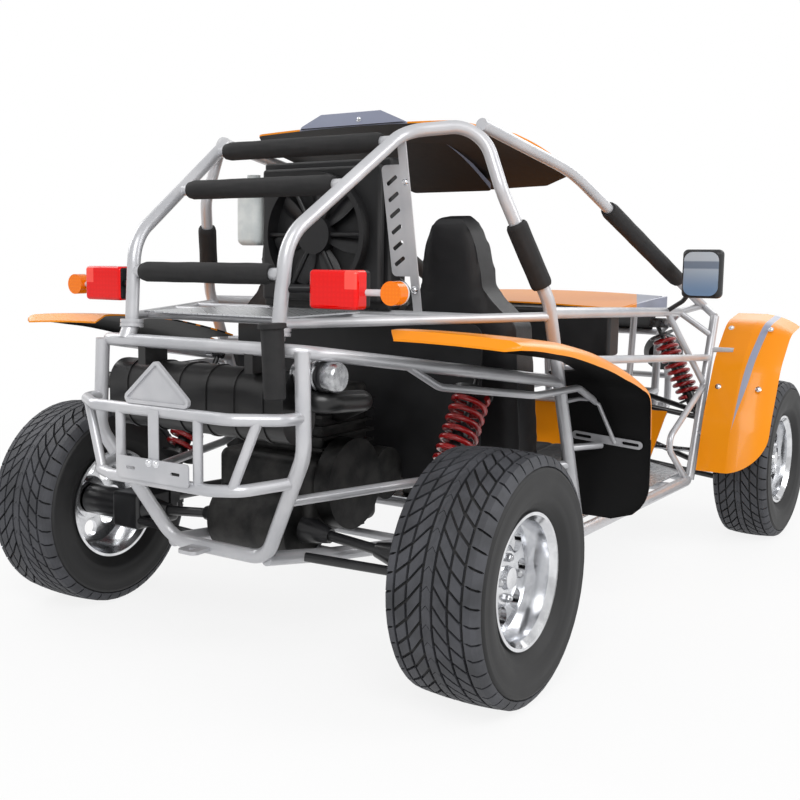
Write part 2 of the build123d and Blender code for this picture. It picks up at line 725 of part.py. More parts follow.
def build_coilovers():
    for top, low, across, spring_d in (
        (rear_eye_top, rear_eye_low, (1, 0, 0), 105),
        (front_eye_top, front_eye_low, (0, 1, 0), 90),
    ):
        damper, coil = coilover(top, low, across, 44, spring_d)
        add("dampers", damper, mirrored(damper))
        add("coil_springs", coil, mirrored(coil))
    rear_pin = rod(rear_eye_top - Vector(eye_w / 2 + 4, 0, 0), shock_root, eye_pin_d)
    half = Vector(0, eye_w / 2 + 8, 0)
    front_pin = Part() + rod(front_eye_top - half, front_eye_top + half, eye_pin_d)
    for side in (-1, 1):
        centre = front_eye_top + Vector(20, side * (eye_w / 2 + 4.5), 0)
        front_pin += block(centre, (76, 8, 36))
    for pin in (rear_pin, front_pin.solid()):
        pin = coped(pin, "rear_frame", "front_frame")
        add("shock_pins", pin, mirrored(pin))


def build_front_arms():
    low_ball = fore(kingpin_x, 0, front_axle_z - knuckle_half - ball_gap - ball_h / 2)
    ends = (
        (low_ball, along(nose_neck, nose_foot, 0.10), along(nose_neck, nose_foot, 0.73)),
        (high_ball, high_rear, high_front),
    )
    for ball, rear, front in ends:
        up = Vector(0, 0, ball_h / 2)
        body = rod(ball - up, ball + up, ball_d) + rod(ball, rear, slim_tube - 3)
        body += rod(ball, front, slim_tube - 3)
        cross = along(along(ball, rear, eye_share), along(ball, front, eye_share), 0.5)
        reach = Vector(0, (front.Y - rear.Y) * eye_share / 2, 0)
        body += rod(cross - reach, cross + reach, eye_pin_d)
        body -= rod(ball - up * 2, ball + up * 2, ball_pin_d + 2 * running_gap)
        body = coped(body.solid(), *tube_nodes)
        add("front_arms", body, mirrored(body))


def build_knuckles():
    axle = fore(0, 0, front_axle_z)
    pin = Vector(0, 0, knuckle_half + ball_gap + ball_h)
    centre = axle + Vector(kingpin_x, 0, 0)
    outer = front_wheel_x + disc_back - 14 - stub_clear
    body = Part() + block(centre, (38, 48, 2 * knuckle_half), 8)
    body += rod(centre - pin, centre + pin, ball_pin_d)
    body += rod(centre, axle + Vector(outer, 0, 0), 76)
    arm_middle = centre + Vector(0, -steer_arm / 2 - 10, tie_z - front_axle_z - 24)
    body += block(arm_middle, (34, steer_arm + 20, 18), 4)
    bore_end = axle + Vector(front_wheel_x + front_stub_end - stub_clear, 0, 0)
    body -= rod(bore_end, axle + Vector(outer, 0, 0), front_stub_d + 2 * running_gap)
    body = body.solid()
    add("knuckle_right", body)
    add("knuckle_left", mirrored(body))


def build_engine():
    """Crankcase, cylinder with head, transaxle and belt cover as one block on the cradle tubes."""
    foot = 266 + slim_tube / 2
    y = rear_axle_y
    case = block((0, y + 150, 420), (330, 330, 220), 26)
    head = block((20, y + 170, 610), (250, 230, 200), 18)
    gearbox = rod(Vector(-gearbox_half, y, gearbox_z), Vector(gearbox_half, y, gearbox_z), 190)
    body = Part() + case + head + gearbox
    body += rod(Vector(165, y + 120, 450), Vector(215, y + 120, 450), 250)
    body += rod(Vector(165, y + 300, 450), Vector(205, y + 300, 450), 150)
    for i in range(5):
        body += block((20, y + 170, 545 + 30 * i), (276, 256, 8))
    for tube_y in (60, 320):
        body += block((0, y + tube_y, (foot + 340) / 2), (200, 40, 340 - foot))
    add("engine", coped(body.solid(), *tube_nodes))


muffler_y = -222
muffler_z = 700


def build_exhaust():
    y = rear_axle_y + muffler_y
    shell = block((-15, y, muffler_z), (590, 130, 180), 0)
    shell = fillet(shell.edges().filter_by(Axis.X), 60)
    for i in range(6):
        rib = block((-15 + 92 * (i - 2.5), y, muffler_z), (10, 136, 186))
        shell += fillet(rib.edges().filter_by(Axis.X), 62)
    shell += rod(Vector(-300, y + 20, muffler_z + 20), Vector(-410, y + 20, muffler_z + 20), 46)
    for x in (-180, 180):
        shell += block((x, (y + belt_corner.Y) / 2, 815), (26, abs(belt_corner.Y - y) + 20, 62))
    shell = coped(shell.solid(), *tube_nodes)
    add("exhaust", shell)
    run = [(270, muffler_y, 720), (360, muffler_y, 720), (360, -60, 710), (150, 130, 640)]
    pipe = tube([back(*place) for place in run], 54, bend=70)
    add("exhaust", coped(pipe, *tube_nodes, "exhaust", "engine"))


radiator_y = 300
radiator_half = 222


def build_radiator():
    foot = shelf_z + slim_tube / 2 - 1.5
    y = rear_axle_y + radiator_y
    top = 1335
    core = block((0, y, (foot + top) / 2), (2 * radiator_half, 62, top - foot), 8)
    shroud = block((0, y - 46, (foot + top) / 2), (2 * radiator_half - 30, 30, top - foot - 40), 10)
    middle = Vector(0, y - 46, (foot + top) / 2)
    shroud += rod(middle, middle - Vector(0, 48, 0), 350)
    shroud -= rod(middle - Vector(0, 2, 0), middle - Vector(0, 60, 0), 320)
    for turn in range(0, 360, 60):
        arm = Vector(166, 0, 0).rotate(Axis.Y, turn)
        shroud += rod(middle - Vector(0, 30, 0), middle - Vector(0, 30, 0) + arm, 14)
    shroud += rod(middle, middle - Vector(0, 44, 0), 110)
    add("radiator", coped((core + shroud).solid(), *tube_nodes))
    low, high = Vector(302, y - 9, shelf_z), along(cage_knee, cage_corner, 0.97)
    strip = Plane(low, x_dir=(1, 0, 0), z_dir=high - low)
    length = (high - low).length
    strut = strip * (Pos(0, 0, length / 2) * Box(26, 4, length))
    sheet = Pos(-34, 3.5, length * 0.53) * Box(76, 3, length * 0.62)
    sheet = fillet(sheet.edges().filter_by(Axis.Y), 14)
    for i in range(6):
        slot = extrude(Plane.XZ * (Rot(0, 0, 35) * SlotOverall(42, 11)), 20, both=True)
        sheet -= Pos(-44, 0, length * (0.53 + 0.09 * (i - 2.5))) * slot
    sheet = strip * sheet
    add("radiator_side_plate", coped(strut.solid(), *tube_nodes))
    add("radiator_side_plate", coped(sheet.solid(), *tube_nodes, "radiator", "radiator_side_plate"))
    bottle = block((-radiator_half - 50, y - 20, 1190), (90, 70, 190), 20)
    cap = Pos(-radiator_half - 50, y - 20, 1293) * Cylinder(20, 22)
    tab = block((-radiator_half - 3, y - 10, 1190), (6, 20, 60))
    add("expansion_bottle", coped((bottle + cap + tab).solid(), "radiator", *tube_nodes))


def build_rack_shelf():
    z = shelf_z + slim_tube / 2 - 1.5
    plate = block((0, rear_axle_y - 62, z + 2), (470, 330, 4))
    add("rack_shelf", coped(plate, *tube_nodes, "radiator"))


lamp_z = 990


def build_lamps():
    lamp = block(back(385, -205, lamp_z), (138, 64, 92), 10)
    arm = rod(at_height(cage_foot, cage_knee, lamp_z), back(330, -205, lamp_z), slim_tube - 5)
    arm = coped(arm, "roll_cage")
    lamp = coped((Part() + lamp + arm).solid(), "roll_cage")
    add("tail_lamps", lamp, mirrored(lamp))
    signal = rod(back(528, -208, lamp_z - 6), back(528, -170, lamp_z - 6), 56)
    stalk = rod(back(445, -195, lamp_z - 6), back(528, -187, lamp_z - 6), 16)
    signal = coped((Part() + signal + stalk).solid(), "tail_lamps")
    add("turn_signals", signal, mirrored(signal))
    eye = fore(245, 300, 655)
    shell = rod(eye, eye + Vector(0, 60, 0), 150) + Plane(eye, z_dir=(0, -1, 0)) * Solid.make_cone(75, 35, 50)
    stem = rod(eye + Vector(0, -20, 0), along(nose_foot, nose_head, 0.79), 20)
    shell = coped((shell + stem).solid(), *tube_nodes)
    add("headlamps", shell, mirrored(shell))


def build_mirrors():
    glass = block(fore(648, -465, 1005), (138, 46, 170), 18)
    root = along(rail_root, cowl_end, 0.86)
    stay = tube([root, root + Vector(60, 0, 40), fore(640, -458, 985)], 16, bend=25)
    shape = coped((Part() + glass + stay).solid(), *tube_nodes)
    add("mirrors", shape, mirrored(shape))


tow_hole_d = 17
tow_plate_t = 10
tow_place = back(-45, -258, 300)


def build_tow_bracket():
    plate = block(tow_place + Vector(0, 16, 0), (64, 84, tow_plate_t))
    plate = fillet(plate.edges().filter_by(Axis.Z), 18)
    lift = Vector(0, 0, tow_plate_t)
    plate -= rod(tow_place - lift, tow_place + lift, tow_hole_d)
    add("tow_bracket", coped(plate.solid(), *tube_nodes))


def build_controls():
    """Three pedals on the toe board, and the gear lever on the tunnel between the seats."""
    for x in (-400, -305, -125):
        foot = fore(x, -330, 420)
        pad = block(foot, (60, 12, 70), 4) + rod(foot, fore(x, -200, 455), 14)
        add("controls", coped(pad.solid(), "toe_board", *tube_nodes))
    top = sill_z + main_tube / 2 + floor_plate
    base = block(back(0, 900, top + 60), (90, 240, 120), 8)
    lever = rod(back(0, 930, top + 100), back(0, 880, 640), 14)
    knob = Pos(*back(0, 880, 640)) * Sphere(24)
    add("controls", (base + lever + knob).solid())


for build in (
    build_roll_cage,
    build_rear_frame,
    build_floor_frame,
    build_side_frames,
    build_front_frame,
    build_bumpers,
    build_plate_bracket,
    build_cage_pads,
    build_roof,
    build_hood,
    build_fenders,
    build_fender_brackets,
    build_rack,
    build_steering,
    build_dash,
    build_floor,
    build_seats,
    build_wheels,
    build_rear_arms,
    build_engine,
    build_drive_shafts,
    build_front_arms,
    build_coilovers,
    build_knuckles,
    build_exhaust,
    build_radiator,
    build_rack_shelf,
    build_lamps,
    build_mirrors,
    build_controls,
    build_tow_bracket,
):
    build()

os.makedirs("parts", exist_ok=True)
for node, solids in parts.items():
    export_step(Compound(solids), f"parts/{node}.step")
    print(node, len(solids), round(sum(s.volume for s in solids) / 1000), "cm3")
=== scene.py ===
import math

import bmesh
import bpy
from mathutils import Matrix, Vector, noise


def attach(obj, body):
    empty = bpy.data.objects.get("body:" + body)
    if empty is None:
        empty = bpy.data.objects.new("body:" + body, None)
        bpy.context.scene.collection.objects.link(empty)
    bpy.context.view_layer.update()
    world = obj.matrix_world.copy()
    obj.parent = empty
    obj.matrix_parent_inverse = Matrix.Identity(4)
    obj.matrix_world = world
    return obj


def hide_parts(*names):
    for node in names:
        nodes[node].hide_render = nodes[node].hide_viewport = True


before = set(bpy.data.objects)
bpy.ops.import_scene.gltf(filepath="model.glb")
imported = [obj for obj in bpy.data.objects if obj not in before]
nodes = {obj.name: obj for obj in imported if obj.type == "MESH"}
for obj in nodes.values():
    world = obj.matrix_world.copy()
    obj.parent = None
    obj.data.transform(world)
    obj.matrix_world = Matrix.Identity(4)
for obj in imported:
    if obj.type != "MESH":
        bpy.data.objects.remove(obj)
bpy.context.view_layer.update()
scene = bpy.context.scene
rearAxleY = -1.0375
frontAxleY = 1.0625
print("frame loaded:", len(nodes), "nodes")


# shader maths as plain expressions

class Socket:
    def __init__(self, tree, link=None):
        self.tree = tree
        self.link = link

    def make(self, kind, settings=None, sockets=None, out=0):
        node = self.tree.nodes.new(kind)
        for key, value in (settings or {}).items():
            if key == "stops":
                for element, (spot, shade) in zip(node.color_ramp.elements, value):
                    element.position = spot
                    element.color = shade
            else:
                setattr(node, key, value)
        for key, value in (sockets or {}).items():
            if isinstance(value, Socket):
                self.tree.links.new(value.link, node.inputs[key])
            else:
                node.inputs[key].default_value = value
        return Socket(self.tree, node.outputs[out])

    def maths(self, operation, *others):
        return self.make("ShaderNodeMath", {"operation": operation}, dict(enumerate(others)))

    def __add__(self, other):
        return self.maths("ADD", self, other)

    def __radd__(self, other):
        return self.maths("ADD", other, self)

    def __sub__(self, other):
        return self.maths("SUBTRACT", self, other)

    def __rsub__(self, other):
        return self.maths("SUBTRACT", other, self)

    def __mul__(self, other):
        return self.maths("MULTIPLY", self, other)

    def __rmul__(self, other):
        return self.maths("MULTIPLY", other, self)

    def __truediv__(self, other):
        return self.maths("DIVIDE", self, other)

    def __gt__(self, other):
        return self.maths("GREATER_THAN", self, other)

    def __lt__(self, other):
        return self.maths("LESS_THAN", self, other)

    def __abs__(self):
        return self.maths("ABSOLUTE", self)

    def clamped(self):
        return self.make("ShaderNodeClamp", None, {"Value": self})

    def step(self, low, high):  # 0 below low, 1 above high, smooth between
        settings = {"interpolation_type": "SMOOTHSTEP"}
        return self.make("ShaderNodeMapRange", settings, {"Value": self, 1: low, 2: high})

    def mix(self, off, on):  # the colour on where this is 1
        return self.make("ShaderNodeMix", {"data_type": "RGBA"}, {0: self, 6: off, 7: on}, out=2)

    def axis(self, letter):
        return self.make("ShaderNodeSeparateXYZ", None, {0: self}, out=letter)

    def noise(self, scale, detail=3.0, rough=0.5):
        sockets = {"Vector": self, "Scale": scale, "Detail": detail, "Roughness": rough}
        return self.make("ShaderNodeTexNoise", None, sockets)

    def cells(self, scale, feature="F1"):
        return self.make("ShaderNodeTexVoronoi", {"feature": feature}, {"Vector": self, "Scale": scale})

    def bump(self, strength, depth):
        sockets = {"Height": self, "Strength": strength, "Distance": depth}
        return self.make("ShaderNodeBump", None, sockets)


def tone(red, green, blue):  # 0 to 255 screen values to a linear colour
    def linear(value):
        value /= 255
        return value / 12.92 if value < 0.04045 else ((value + 0.055) / 1.055) ** 2.4
    return (linear(red), linear(green), linear(blue), 1.0)


def newFinish(name):
    material = bpy.data.materials.new(name)
    material.use_nodes = True
    tree = material.node_tree
    return material, Socket(tree).make("ShaderNodeTexCoord", out="Object")


def setFinish(material, values):
    shader = material.node_tree.nodes["Principled BSDF"]
    for key, value in values.items():
        if isinstance(value, Socket):
            material.node_tree.links.new(value.link, shader.inputs[key])
        else:
            shader.inputs[key].default_value = value
    return material


def speckled(name, light, dark, look):  # two close tones of one finish, with a fine grain
    material, place = newFinish(name)
    patches = place.noise(look["patch"], 4.0)
    grain = place.noise(look["grain"], 2.0)
    values = {
        "Base Color": patches.step(0.3, 0.7).mix(dark, light),
        "Roughness": look["rough"] + (patches - 0.5) * look["roughSpread"],
        "Normal": grain.bump(look["bump"], look["bumpDepth"]),
        "Metallic": look["metal"],
        "Coat Weight": look["coat"],
    }
    return setFinish(material, values)


speckleParts = ("patch", "grain", "rough", "roughSpread", "bump", "bumpDepth", "metal", "coat")
speckles = {  # light tone, dark tone, then the parts in that order
    "silverPaint": ((200, 200, 203), (184, 185, 189), 7.0, 90.0, 0.32, 0.10, 0.03, 0.0008, 0.30, 0.25),
    "blackPaint": ((36, 36, 38), (22, 22, 24), 11.0, 700.0, 0.34, 0.16, 0.10, 0.0004, 0.0, 0.15),
    "heatBlack": ((30, 29, 29), (17, 17, 18), 9.0, 420.0, 0.42, 0.20, 0.15, 0.0006, 0.0, 0.1),
    "castMetal": ((54, 53, 52), (13, 13, 14), 17.0, 260.0, 0.52, 0.25, 0.35, 0.0012, 0.55, 0.0),
    "plainSteel": ((196, 197, 199), (150, 151, 154), 60.0, 800.0, 0.28, 0.15, 0.08, 0.0003, 1.0, 0.0),
    "springRed": ((186, 24, 26), (150, 14, 18), 14.0, 600.0, 0.28, 0.12, 0.06, 0.0003, 0.0, 0.5),
    "blackPlastic": ((25, 25, 27), (16, 16, 18), 13.0, 1100.0, 0.48, 0.15, 0.22, 0.0004, 0.0, 0.0),
    "foamSleeve": ((31, 30, 31), (20, 20, 21), 40.0, 1300.0, 0.80, 0.15, 0.45, 0.0006, 0.0, 0.0),
    "carcassRubber": ((27, 27, 28), (19, 19, 20), 16.0, 700.0, 0.60, 0.2, 0.15, 0.0004, 0.0, 0.0),
    "chrome": ((228, 229, 232), (214, 215, 219), 18.0, 500.0, 0.08, 0.06, 0.03, 0.0002, 1.0, 0.0),
    "treadRubber": ((70, 71, 76), (52, 53, 57), 16.0, 1000.0, 0.66, 0.2, 0.3, 0.0005, 0.0, 0.0),
    "polishedAlloy": ((232, 233, 235), (206, 207, 210), 22.0, 700.0, 0.17, 0.12, 0.05, 0.0003, 1.0, 0.0),
    "clearTank": ((226, 230, 228), (206, 212, 212), 20.0, 300.0, 0.32, 0.1, 0.1, 0.0004, 0.0, 0.0),
}
finishes = {}
for name, (light, dark, *values) in speckles.items():
    finishes[name] = speckled(name, tone(*light), tone(*dark), dict(zip(speckleParts, values)))

# the near-black tone is painted shade for the panels' undersides and the sides that face the wheels
panelTones = {
    "orange": tone(248, 156, 22), "deepOrange": tone(240, 138, 10), "grey": tone(160, 165, 184),
    "greyDark": tone(140, 145, 165), "paintedShade": tone(10, 10, 11),
}


def panelFinish(name, greyAt, paintedShadeAt):  # moulded orange panel with grey parts; faces turned down or towards the wheel get a near-black painted shade
    material, place = newFinish(name)
    facing = place.make("ShaderNodeNewGeometry", out="Normal")
    flow = place.noise(3.0, 2.0)
    orange = flow.mix(panelTones["deepOrange"], panelTones["orange"])
    grey = flow.mix(panelTones["greyDark"], panelTones["grey"])
    # near-black painted shade where the face turns down or towards the wheel
    paintedShade = paintedShadeAt(place, facing)
    shade = greyAt(place).mix(orange, grey)
    values = {
        "Base Color": paintedShade.mix(shade, panelTones["paintedShade"]),
        "Roughness": 0.30 + paintedShade * 0.3 + (place.noise(60.0) - 0.5) * 0.06,
        "Normal": place.noise(14.0, 1.0).bump(0.05, 0.004),
        "Coat Weight": 0.14 - paintedShade * 0.14,
        "Coat Roughness": 0.06,
        "Specular IOR Level": 0.22,
    }
    finishes[name] = setFinish(material, values)


# painted shade: faces turned downward go near-black
def shadeBelowPanel(place, facing):
    return facing.axis("Z").step(-0.05, -0.25)


def shadeFacingWheel(axleY, axleZ):  # painted shade: the side of a fender that faces its wheel
    def mask(place, facing):
        across = (place.axis("Y") - axleY) * facing.axis("Y")
        upward = (place.axis("Z") - axleZ) * facing.axis("Z")
        return (across + upward) < 0.0
    return mask


def noGrey(place):
    return place.axis("X") > 9.0


def roofGrey(place):
    edge = 0.191 - (place.axis("Y") - rearAxleY - 0.392) * 0.066
    return abs(place.axis("X")) < edge


hoodChevron = {"first": 1.036, "last": 1.173, "across": 1.0, "ahead": 0.38}


def hoodGrey(place):  # a band from each side of the hood that meets its pair at the nose
    h = hoodChevron
    lead = abs(place.axis("X")) * h["across"] + (place.axis("Y") - rearAxleY) * h["ahead"]
    return (lead > h["first"]) * (lead < h["last"])


fenderStripe = {"topX": 0.778, "topZ": 0.83, "footX": 0.735, "footZ": 0.43, "half": 0.012}


def stripeGrey(place):
    s = fenderStripe
    slope = (s["topX"] - s["footX"]) / (s["topZ"] - s["footZ"])
    height = place.axis("Z")
    middle = s["footX"] + (height - s["footZ"]) * slope
    half = s["half"] * (height - s["footZ"]).step(0.0, 0.22)
    return (abs(abs(place.axis("X")) - middle) < half) * (height > s["footZ"])


panelFinish("roofPanel", roofGrey, shadeBelowPanel)
panelFinish("hoodPanel", hoodGrey, shadeBelowPanel)
panelFinish("rearFender", noGrey, shadeFacingWheel(rearAxleY, 0.307))
panelFinish("frontFender", stripeGrey, shadeFacingWheel(frontAxleY, 0.30))
panelFinish("toePanel", noGrey, shadeBelowPanel)

treadPlate = {  # shares of a cell, apart from cell and rise in metres
    "cell": 0.026, "long": 0.40, "longFade": 0.12, "wide": 0.13, "wideFade": 0.08,
    "diagonal": 0.7071, "rise": 0.0011,
}


def treadPlateFinish(name):  # bright plate with raised bars that turn from cell to cell
    material, place = newFinish(name)
    p = treadPlate
    across, length = place.axis("X") / p["cell"], place.axis("Y") / p["cell"]
    column, row = across.maths("FLOOR", across), length.maths("FLOOR", length)
    odd = (column + row).maths("PINGPONG", column + row, 1.0)
    u, v = across - column - 0.5, length - row - 0.5
    slant, other = (u + v) * p["diagonal"], (u - v) * p["diagonal"]
    longWay = odd * abs(slant) + (1.0 - odd) * abs(other)
    wideWay = odd * abs(other) + (1.0 - odd) * abs(slant)
    ends = 1.0 - longWay.step(p["long"] - p["longFade"], p["long"])
    bar = ends * (1.0 - wideWay.step(p["wide"] - p["wideFade"], p["wide"]))
    scuff = place.noise(36.0, 5.0)
    values = {
        "Base Color": scuff.mix(tone(188, 190, 193), tone(222, 223, 225)),
        "Roughness": 0.36 - bar * 0.12 + (scuff - 0.5) * 0.2,
        "Metallic": 1.0,
        "Normal": bar.bump(0.8, p["rise"]),
    }
    finishes[name] = setFinish(material, values)


treadPlateFinish("treadPlate")


def vinylFinish(name):
    material, place = newFinish(name)
    grain = place.cells(420.0, "DISTANCE_TO_EDGE").step(0.0, 0.25)
    foldsAndCreaseShade = place.noise(26.0, 3.0)
    values = {
        # the fold noise bumps the vinyl and also darkens its colour where the folds sink: painted shade in
        # the creases
        "Base Color": foldsAndCreaseShade.mix(tone(18, 18, 20), tone(29, 29, 32)),
        "Roughness": 0.46 + (foldsAndCreaseShade - 0.5) * 0.2,
        "Normal": (grain + foldsAndCreaseShade * 0.6).bump(0.35, 0.0006),
    }
    finishes[name] = setFinish(material, values)


vinylFinish("seatVinyl")


lenses = {  # lens, its darker tone painted into the grooves between the ribs as painted shade, its housing, pitch of the ribs
    "redLens": (tone(240, 8, 6), tone(232, 5, 4), tone(26, 26, 28), 0.012),
    "amberLens": (tone(250, 132, 8), tone(246, 122, 2), tone(205, 206, 209), 0.009),
    "clearLens": (tone(232, 235, 240), tone(196, 200, 206), tone(30, 30, 32), 0.018),
}


def redPart(place):  # the rear half of the box, not its arm
    return (place.axis("Y") < rearAxleY - 0.196) * (abs(place.axis("X")) > 0.318)


def amberPart(place):
    return (place.axis("Y") < rearAxleY - 0.176) * (abs(place.axis("X")) > 0.498)


def clearPart(place):
    return place.axis("Y") > frontAxleY + 0.350


def palePart(place):  # the reversing lamp's square in the red box
    across = abs(place.axis("X"))
    return (place.axis("Z") > 0.992) * (across > 0.420) * (across < 0.452)


def lensFinish(name, lensAt, paleAt=None):  # coloured lens with faint moulded ribs and painted shade in the grooves between them, on its housing
    light, dark, housing, pitch = lenses[name]
    material, place = newFinish(name)
    ribs = (place.axis("X") / pitch).maths("PINGPONG", place.axis("X") / pitch, 0.5)
    rows = (place.axis("Z") / pitch).maths("PINGPONG", place.axis("Z") / pitch, 0.5)
    lens = lensAt(place)
    # darker towards the rib edges, where the bump sinks: painted shade in the grooves
    shade = (ribs * rows * 4.0).clamped().mix(dark, light)
    if paleAt:
        shade = paleAt(place).mix(shade, tone(255, 84, 74))
    values = {
        "Base Color": lens.mix(housing, shade),
        "Roughness": 0.34 - lens * 0.26,
        "Normal": ((ribs + rows) * lens).bump(0.10, 0.001),
        "Coat Weight": lens * 0.25,
        "Coat Roughness": 0.03,
        "Specular IOR Level": 0.2,
    }
    finishes[name] = setFinish(material, values)


lensFinish("redLens", redPart, palePart)
lensFinish("amberLens", amberPart)
lensFinish("clearLens", clearPart)


# mirror glass whose colour is a painted reflection of sky
def mirrorFinish(name):
    material, place = newFinish(name)
    haze = place.noise(14.0, 2.0)
    height = place.axis("Z")
    # painted reflection: bluish low, paler higher up, crossed by a darker painted band
    paintedSkyReflection = height.step(0.93, 1.07).mix(tone(128, 156, 190), tone(206, 214, 222))
    paintedReflectionBand = height.step(1.020, 1.026) * (1.0 - height.step(1.046, 1.052))
    values = {
        "Base Color": (paintedReflectionBand * 0.7).mix(paintedSkyReflection, tone(92, 108, 132)),
        "Roughness": 0.16 + haze * 0.05,
        "Metallic": 0.25,
    }
    finishes[name] = setFinish(material, values)


mirrorFinish("mirrorGlass")
print("finishes:", len(finishes))

nodeFinishes = {
    "silverPaint": ["roll_cage", "rear_frame", "floor_frame", "side_frames", "front_frame",
                    "rear_bumper", "front_bumper", "plate_bracket", "tow_bracket", "fender_brackets",
                    "radiator_side_plate"],
    "foamSleeve": ["cage_pads"],
    "roofPanel": ["roof_panel"], "hoodPanel": ["hood"], "rearFender": ["rear_fenders"],
    "frontFender": ["front_fenders"], "toePanel": ["toe_board"],
    "treadPlate": ["floor_pan", "rack_shelf"],
    "blackPlastic": ["dash", "radiator", "mirrors", "steering_wheel"],
    "seatVinyl": ["seat_left", "seat_right"],
    "blackPaint": ["seat_runners", "controls", "steering_column", "front_arms", "rear_arms", "drive_shafts",
                   "knuckle_left", "knuckle_right", "dampers"],
    "castMetal": ["engine"],
    "heatBlack": ["exhaust"],
    "springRed": ["coil_springs"],
    "plainSteel": ["shock_pins", "steering_rack"],
    "redLens": ["tail_lamps"], "amberLens": ["turn_signals"], "clearLens": ["headlamps"],
    "clearTank": ["expansion_bottle"],
    "polishedAlloy": [name for name in nodes if "_rim_" in name],
    "treadRubber": [name for name in nodes if "_tyre_" in name],
}
for finish, names in nodeFinishes.items():
    for name in names:
        nodes[name].data.materials.clear()
        nodes[name].data.materials.append(finishes[finish])


# meshes

def piece(name, mesh, finish, body="chassis", smooth=True):
    mesh.materials.clear()
    mesh.materials.append(finishes[finish])
    for face in mesh.polygons:
        face.use_smooth = smooth
    if smooth:
        mesh.set_sharp_from_angle(angle=math.radians(38))
    thing = bpy.data.objects.new(name, mesh)
    scene.collection.objects.link(thing)
    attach(thing, body)
    return thing


def toMesh(name, shape, merge=0.0):
    if merge:
        bmesh.ops.remove_doubles(shape, verts=shape.verts, dist=merge)
    bmesh.ops.recalc_face_normals(shape, faces=shape.faces)
    mesh = bpy.data.meshes.new(name)
    shape.to_mesh(mesh)
    shape.free()
    return mesh


def joined(name, meshes):
    shape = bmesh.new()
    for mesh in meshes:
        shape.from_mesh(mesh)
        bpy.data.meshes.remove(mesh)
    result = bpy.data.meshes.new(name)
    shape.to_mesh(result)
    shape.free()
    return result


def pair(name, make):  # a shape and its twin on the left side, as one mesh
    return joined(name, [make(1), make(-1)])


def baked(thing):  # the mesh as modifiers leave it, with the object removed
    graph = bpy.context.evaluated_depsgraph_get()
    mesh = bpy.data.meshes.new_from_object(thing.evaluated_get(graph))
    bpy.data.objects.remove(thing)
    return mesh


def loft(shape, rows, closed=False):  # faces between rows, each row a closed loop of points
    following = rows[1:] + rows[:1] if closed else rows[1:]
    for a, b in zip(rows, following):
        for k in range(len(a)):
            m = (k + 1) % len(a)
            shape.faces.new((a[k], a[m], b[m], b[k]))
    if not closed:
        shape.faces.new(rows[0])
        shape.faces.new(rows[-1])


def frameAlong(start, end):  # a matrix whose Z runs from start to end
    way = (Vector(end) - Vector(start)).normalized()
    return Matrix.Translation(Vector(start)) @ way.to_track_quat("Z", "Y").to_matrix().to_4x4()


def turned(outline, steps):  # (x, radius) points turned about X into a closed ring
    shape = bmesh.new()
    rings = []
    for i in range(steps):
        angle = 2 * math.pi * i / steps
        rings.append([shape.verts.new((x, r * math.sin(angle), r * math.cos(angle))) for x, r in outline])
    loft(shape, rings, closed=True)
    return shape


def arcThrough(a, b, c, steps):  # points on the arc from a by b to c, in a plane
    (ax, ay), (bx, by), (cx, cy) = a, b, c
    d = 2 * (ax * (by - cy) + bx * (cy - ay) + cx * (ay - by))
    sa, sb, sc = ax * ax + ay * ay, bx * bx + by * by, cx * cx + cy * cy
    mx = (sa * (by - cy) + sb * (cy - ay) + sc * (ay - by)) / d
    my = (sa * (cx - bx) + sb * (ax - cx) + sc * (bx - ax)) / d
    radius = math.hypot(ax - mx, ay - my)
    first, middle, last = (math.atan2(y - my, x - mx) for x, y in (a, b, c))
    turn = (last - first) % (2 * math.pi)
    if (middle - first) % (2 * math.pi) > turn:
        turn -= 2 * math.pi
    angles = [first + turn * i / steps for i in range(steps + 1)]
    return [(mx + radius * math.cos(t), my + radius * math.sin(t)) for t in angles]


# Geometry Nodes trees for what repeats

class Tree:
    def __init__(self, name, inputs):
        self.tree = bpy.data.node_groups.new(name, "GeometryNodeTree")
        self.tree.interface.new_socket("Geometry", in_out="OUTPUT", socket_type="NodeSocketGeometry")
        self.keys = {}
        for label, kind in inputs.items():
            item = self.tree.interface.new_socket(label, in_out="INPUT", socket_type="NodeSocket" + kind)
            self.keys[label] = item.identifier
        self.inlet = self.tree.nodes.new("NodeGroupInput")
        self.outlet = self.tree.nodes.new("NodeGroupOutput")

    def read(self, label):
        return next(s for s in self.inlet.outputs if s.identifier == self.keys[label])

    def add(self, kind, sockets=None, **settings):
        node = self.tree.nodes.new(kind)
        for key, value in settings.items():
            setattr(node, key, value)
        for key, value in (sockets or {}).items():
            if isinstance(value, bpy.types.NodeSocket):
                self.tree.links.new(value, node.inputs[key])
            else:
                node.inputs[key].default_value = value
        return node

    def close(self, geometry):  # every tree ends as plain mesh in one finish
        real = self.add("GeometryNodeRealizeInstances", {0: geometry})
        dressed = self.add("GeometryNodeSetMaterial", {0: real.outputs[0], "Material": self.read("Finish")})
        self.tree.links.new(dressed.outputs[0], self.outlet.inputs[0])

    def run(self, name, finish, values):
        host = bpy.data.objects.new(name, bpy.data.meshes.new(name))
        scene.collection.objects.link(host)
        modifier = host.modifiers.new(name, "NODES")
        modifier.node_group = self.tree
        for label, value in dict(values, Finish=finishes[finish]).items():
            modifier[self.keys[label]] = value
        return baked(host)


def sourceObject(mesh):  # a passing object for a tree or modifier to work on
    thing = bpy.data.objects.new(mesh.name, mesh)
    scene.collection.objects.link(thing)
    return thing


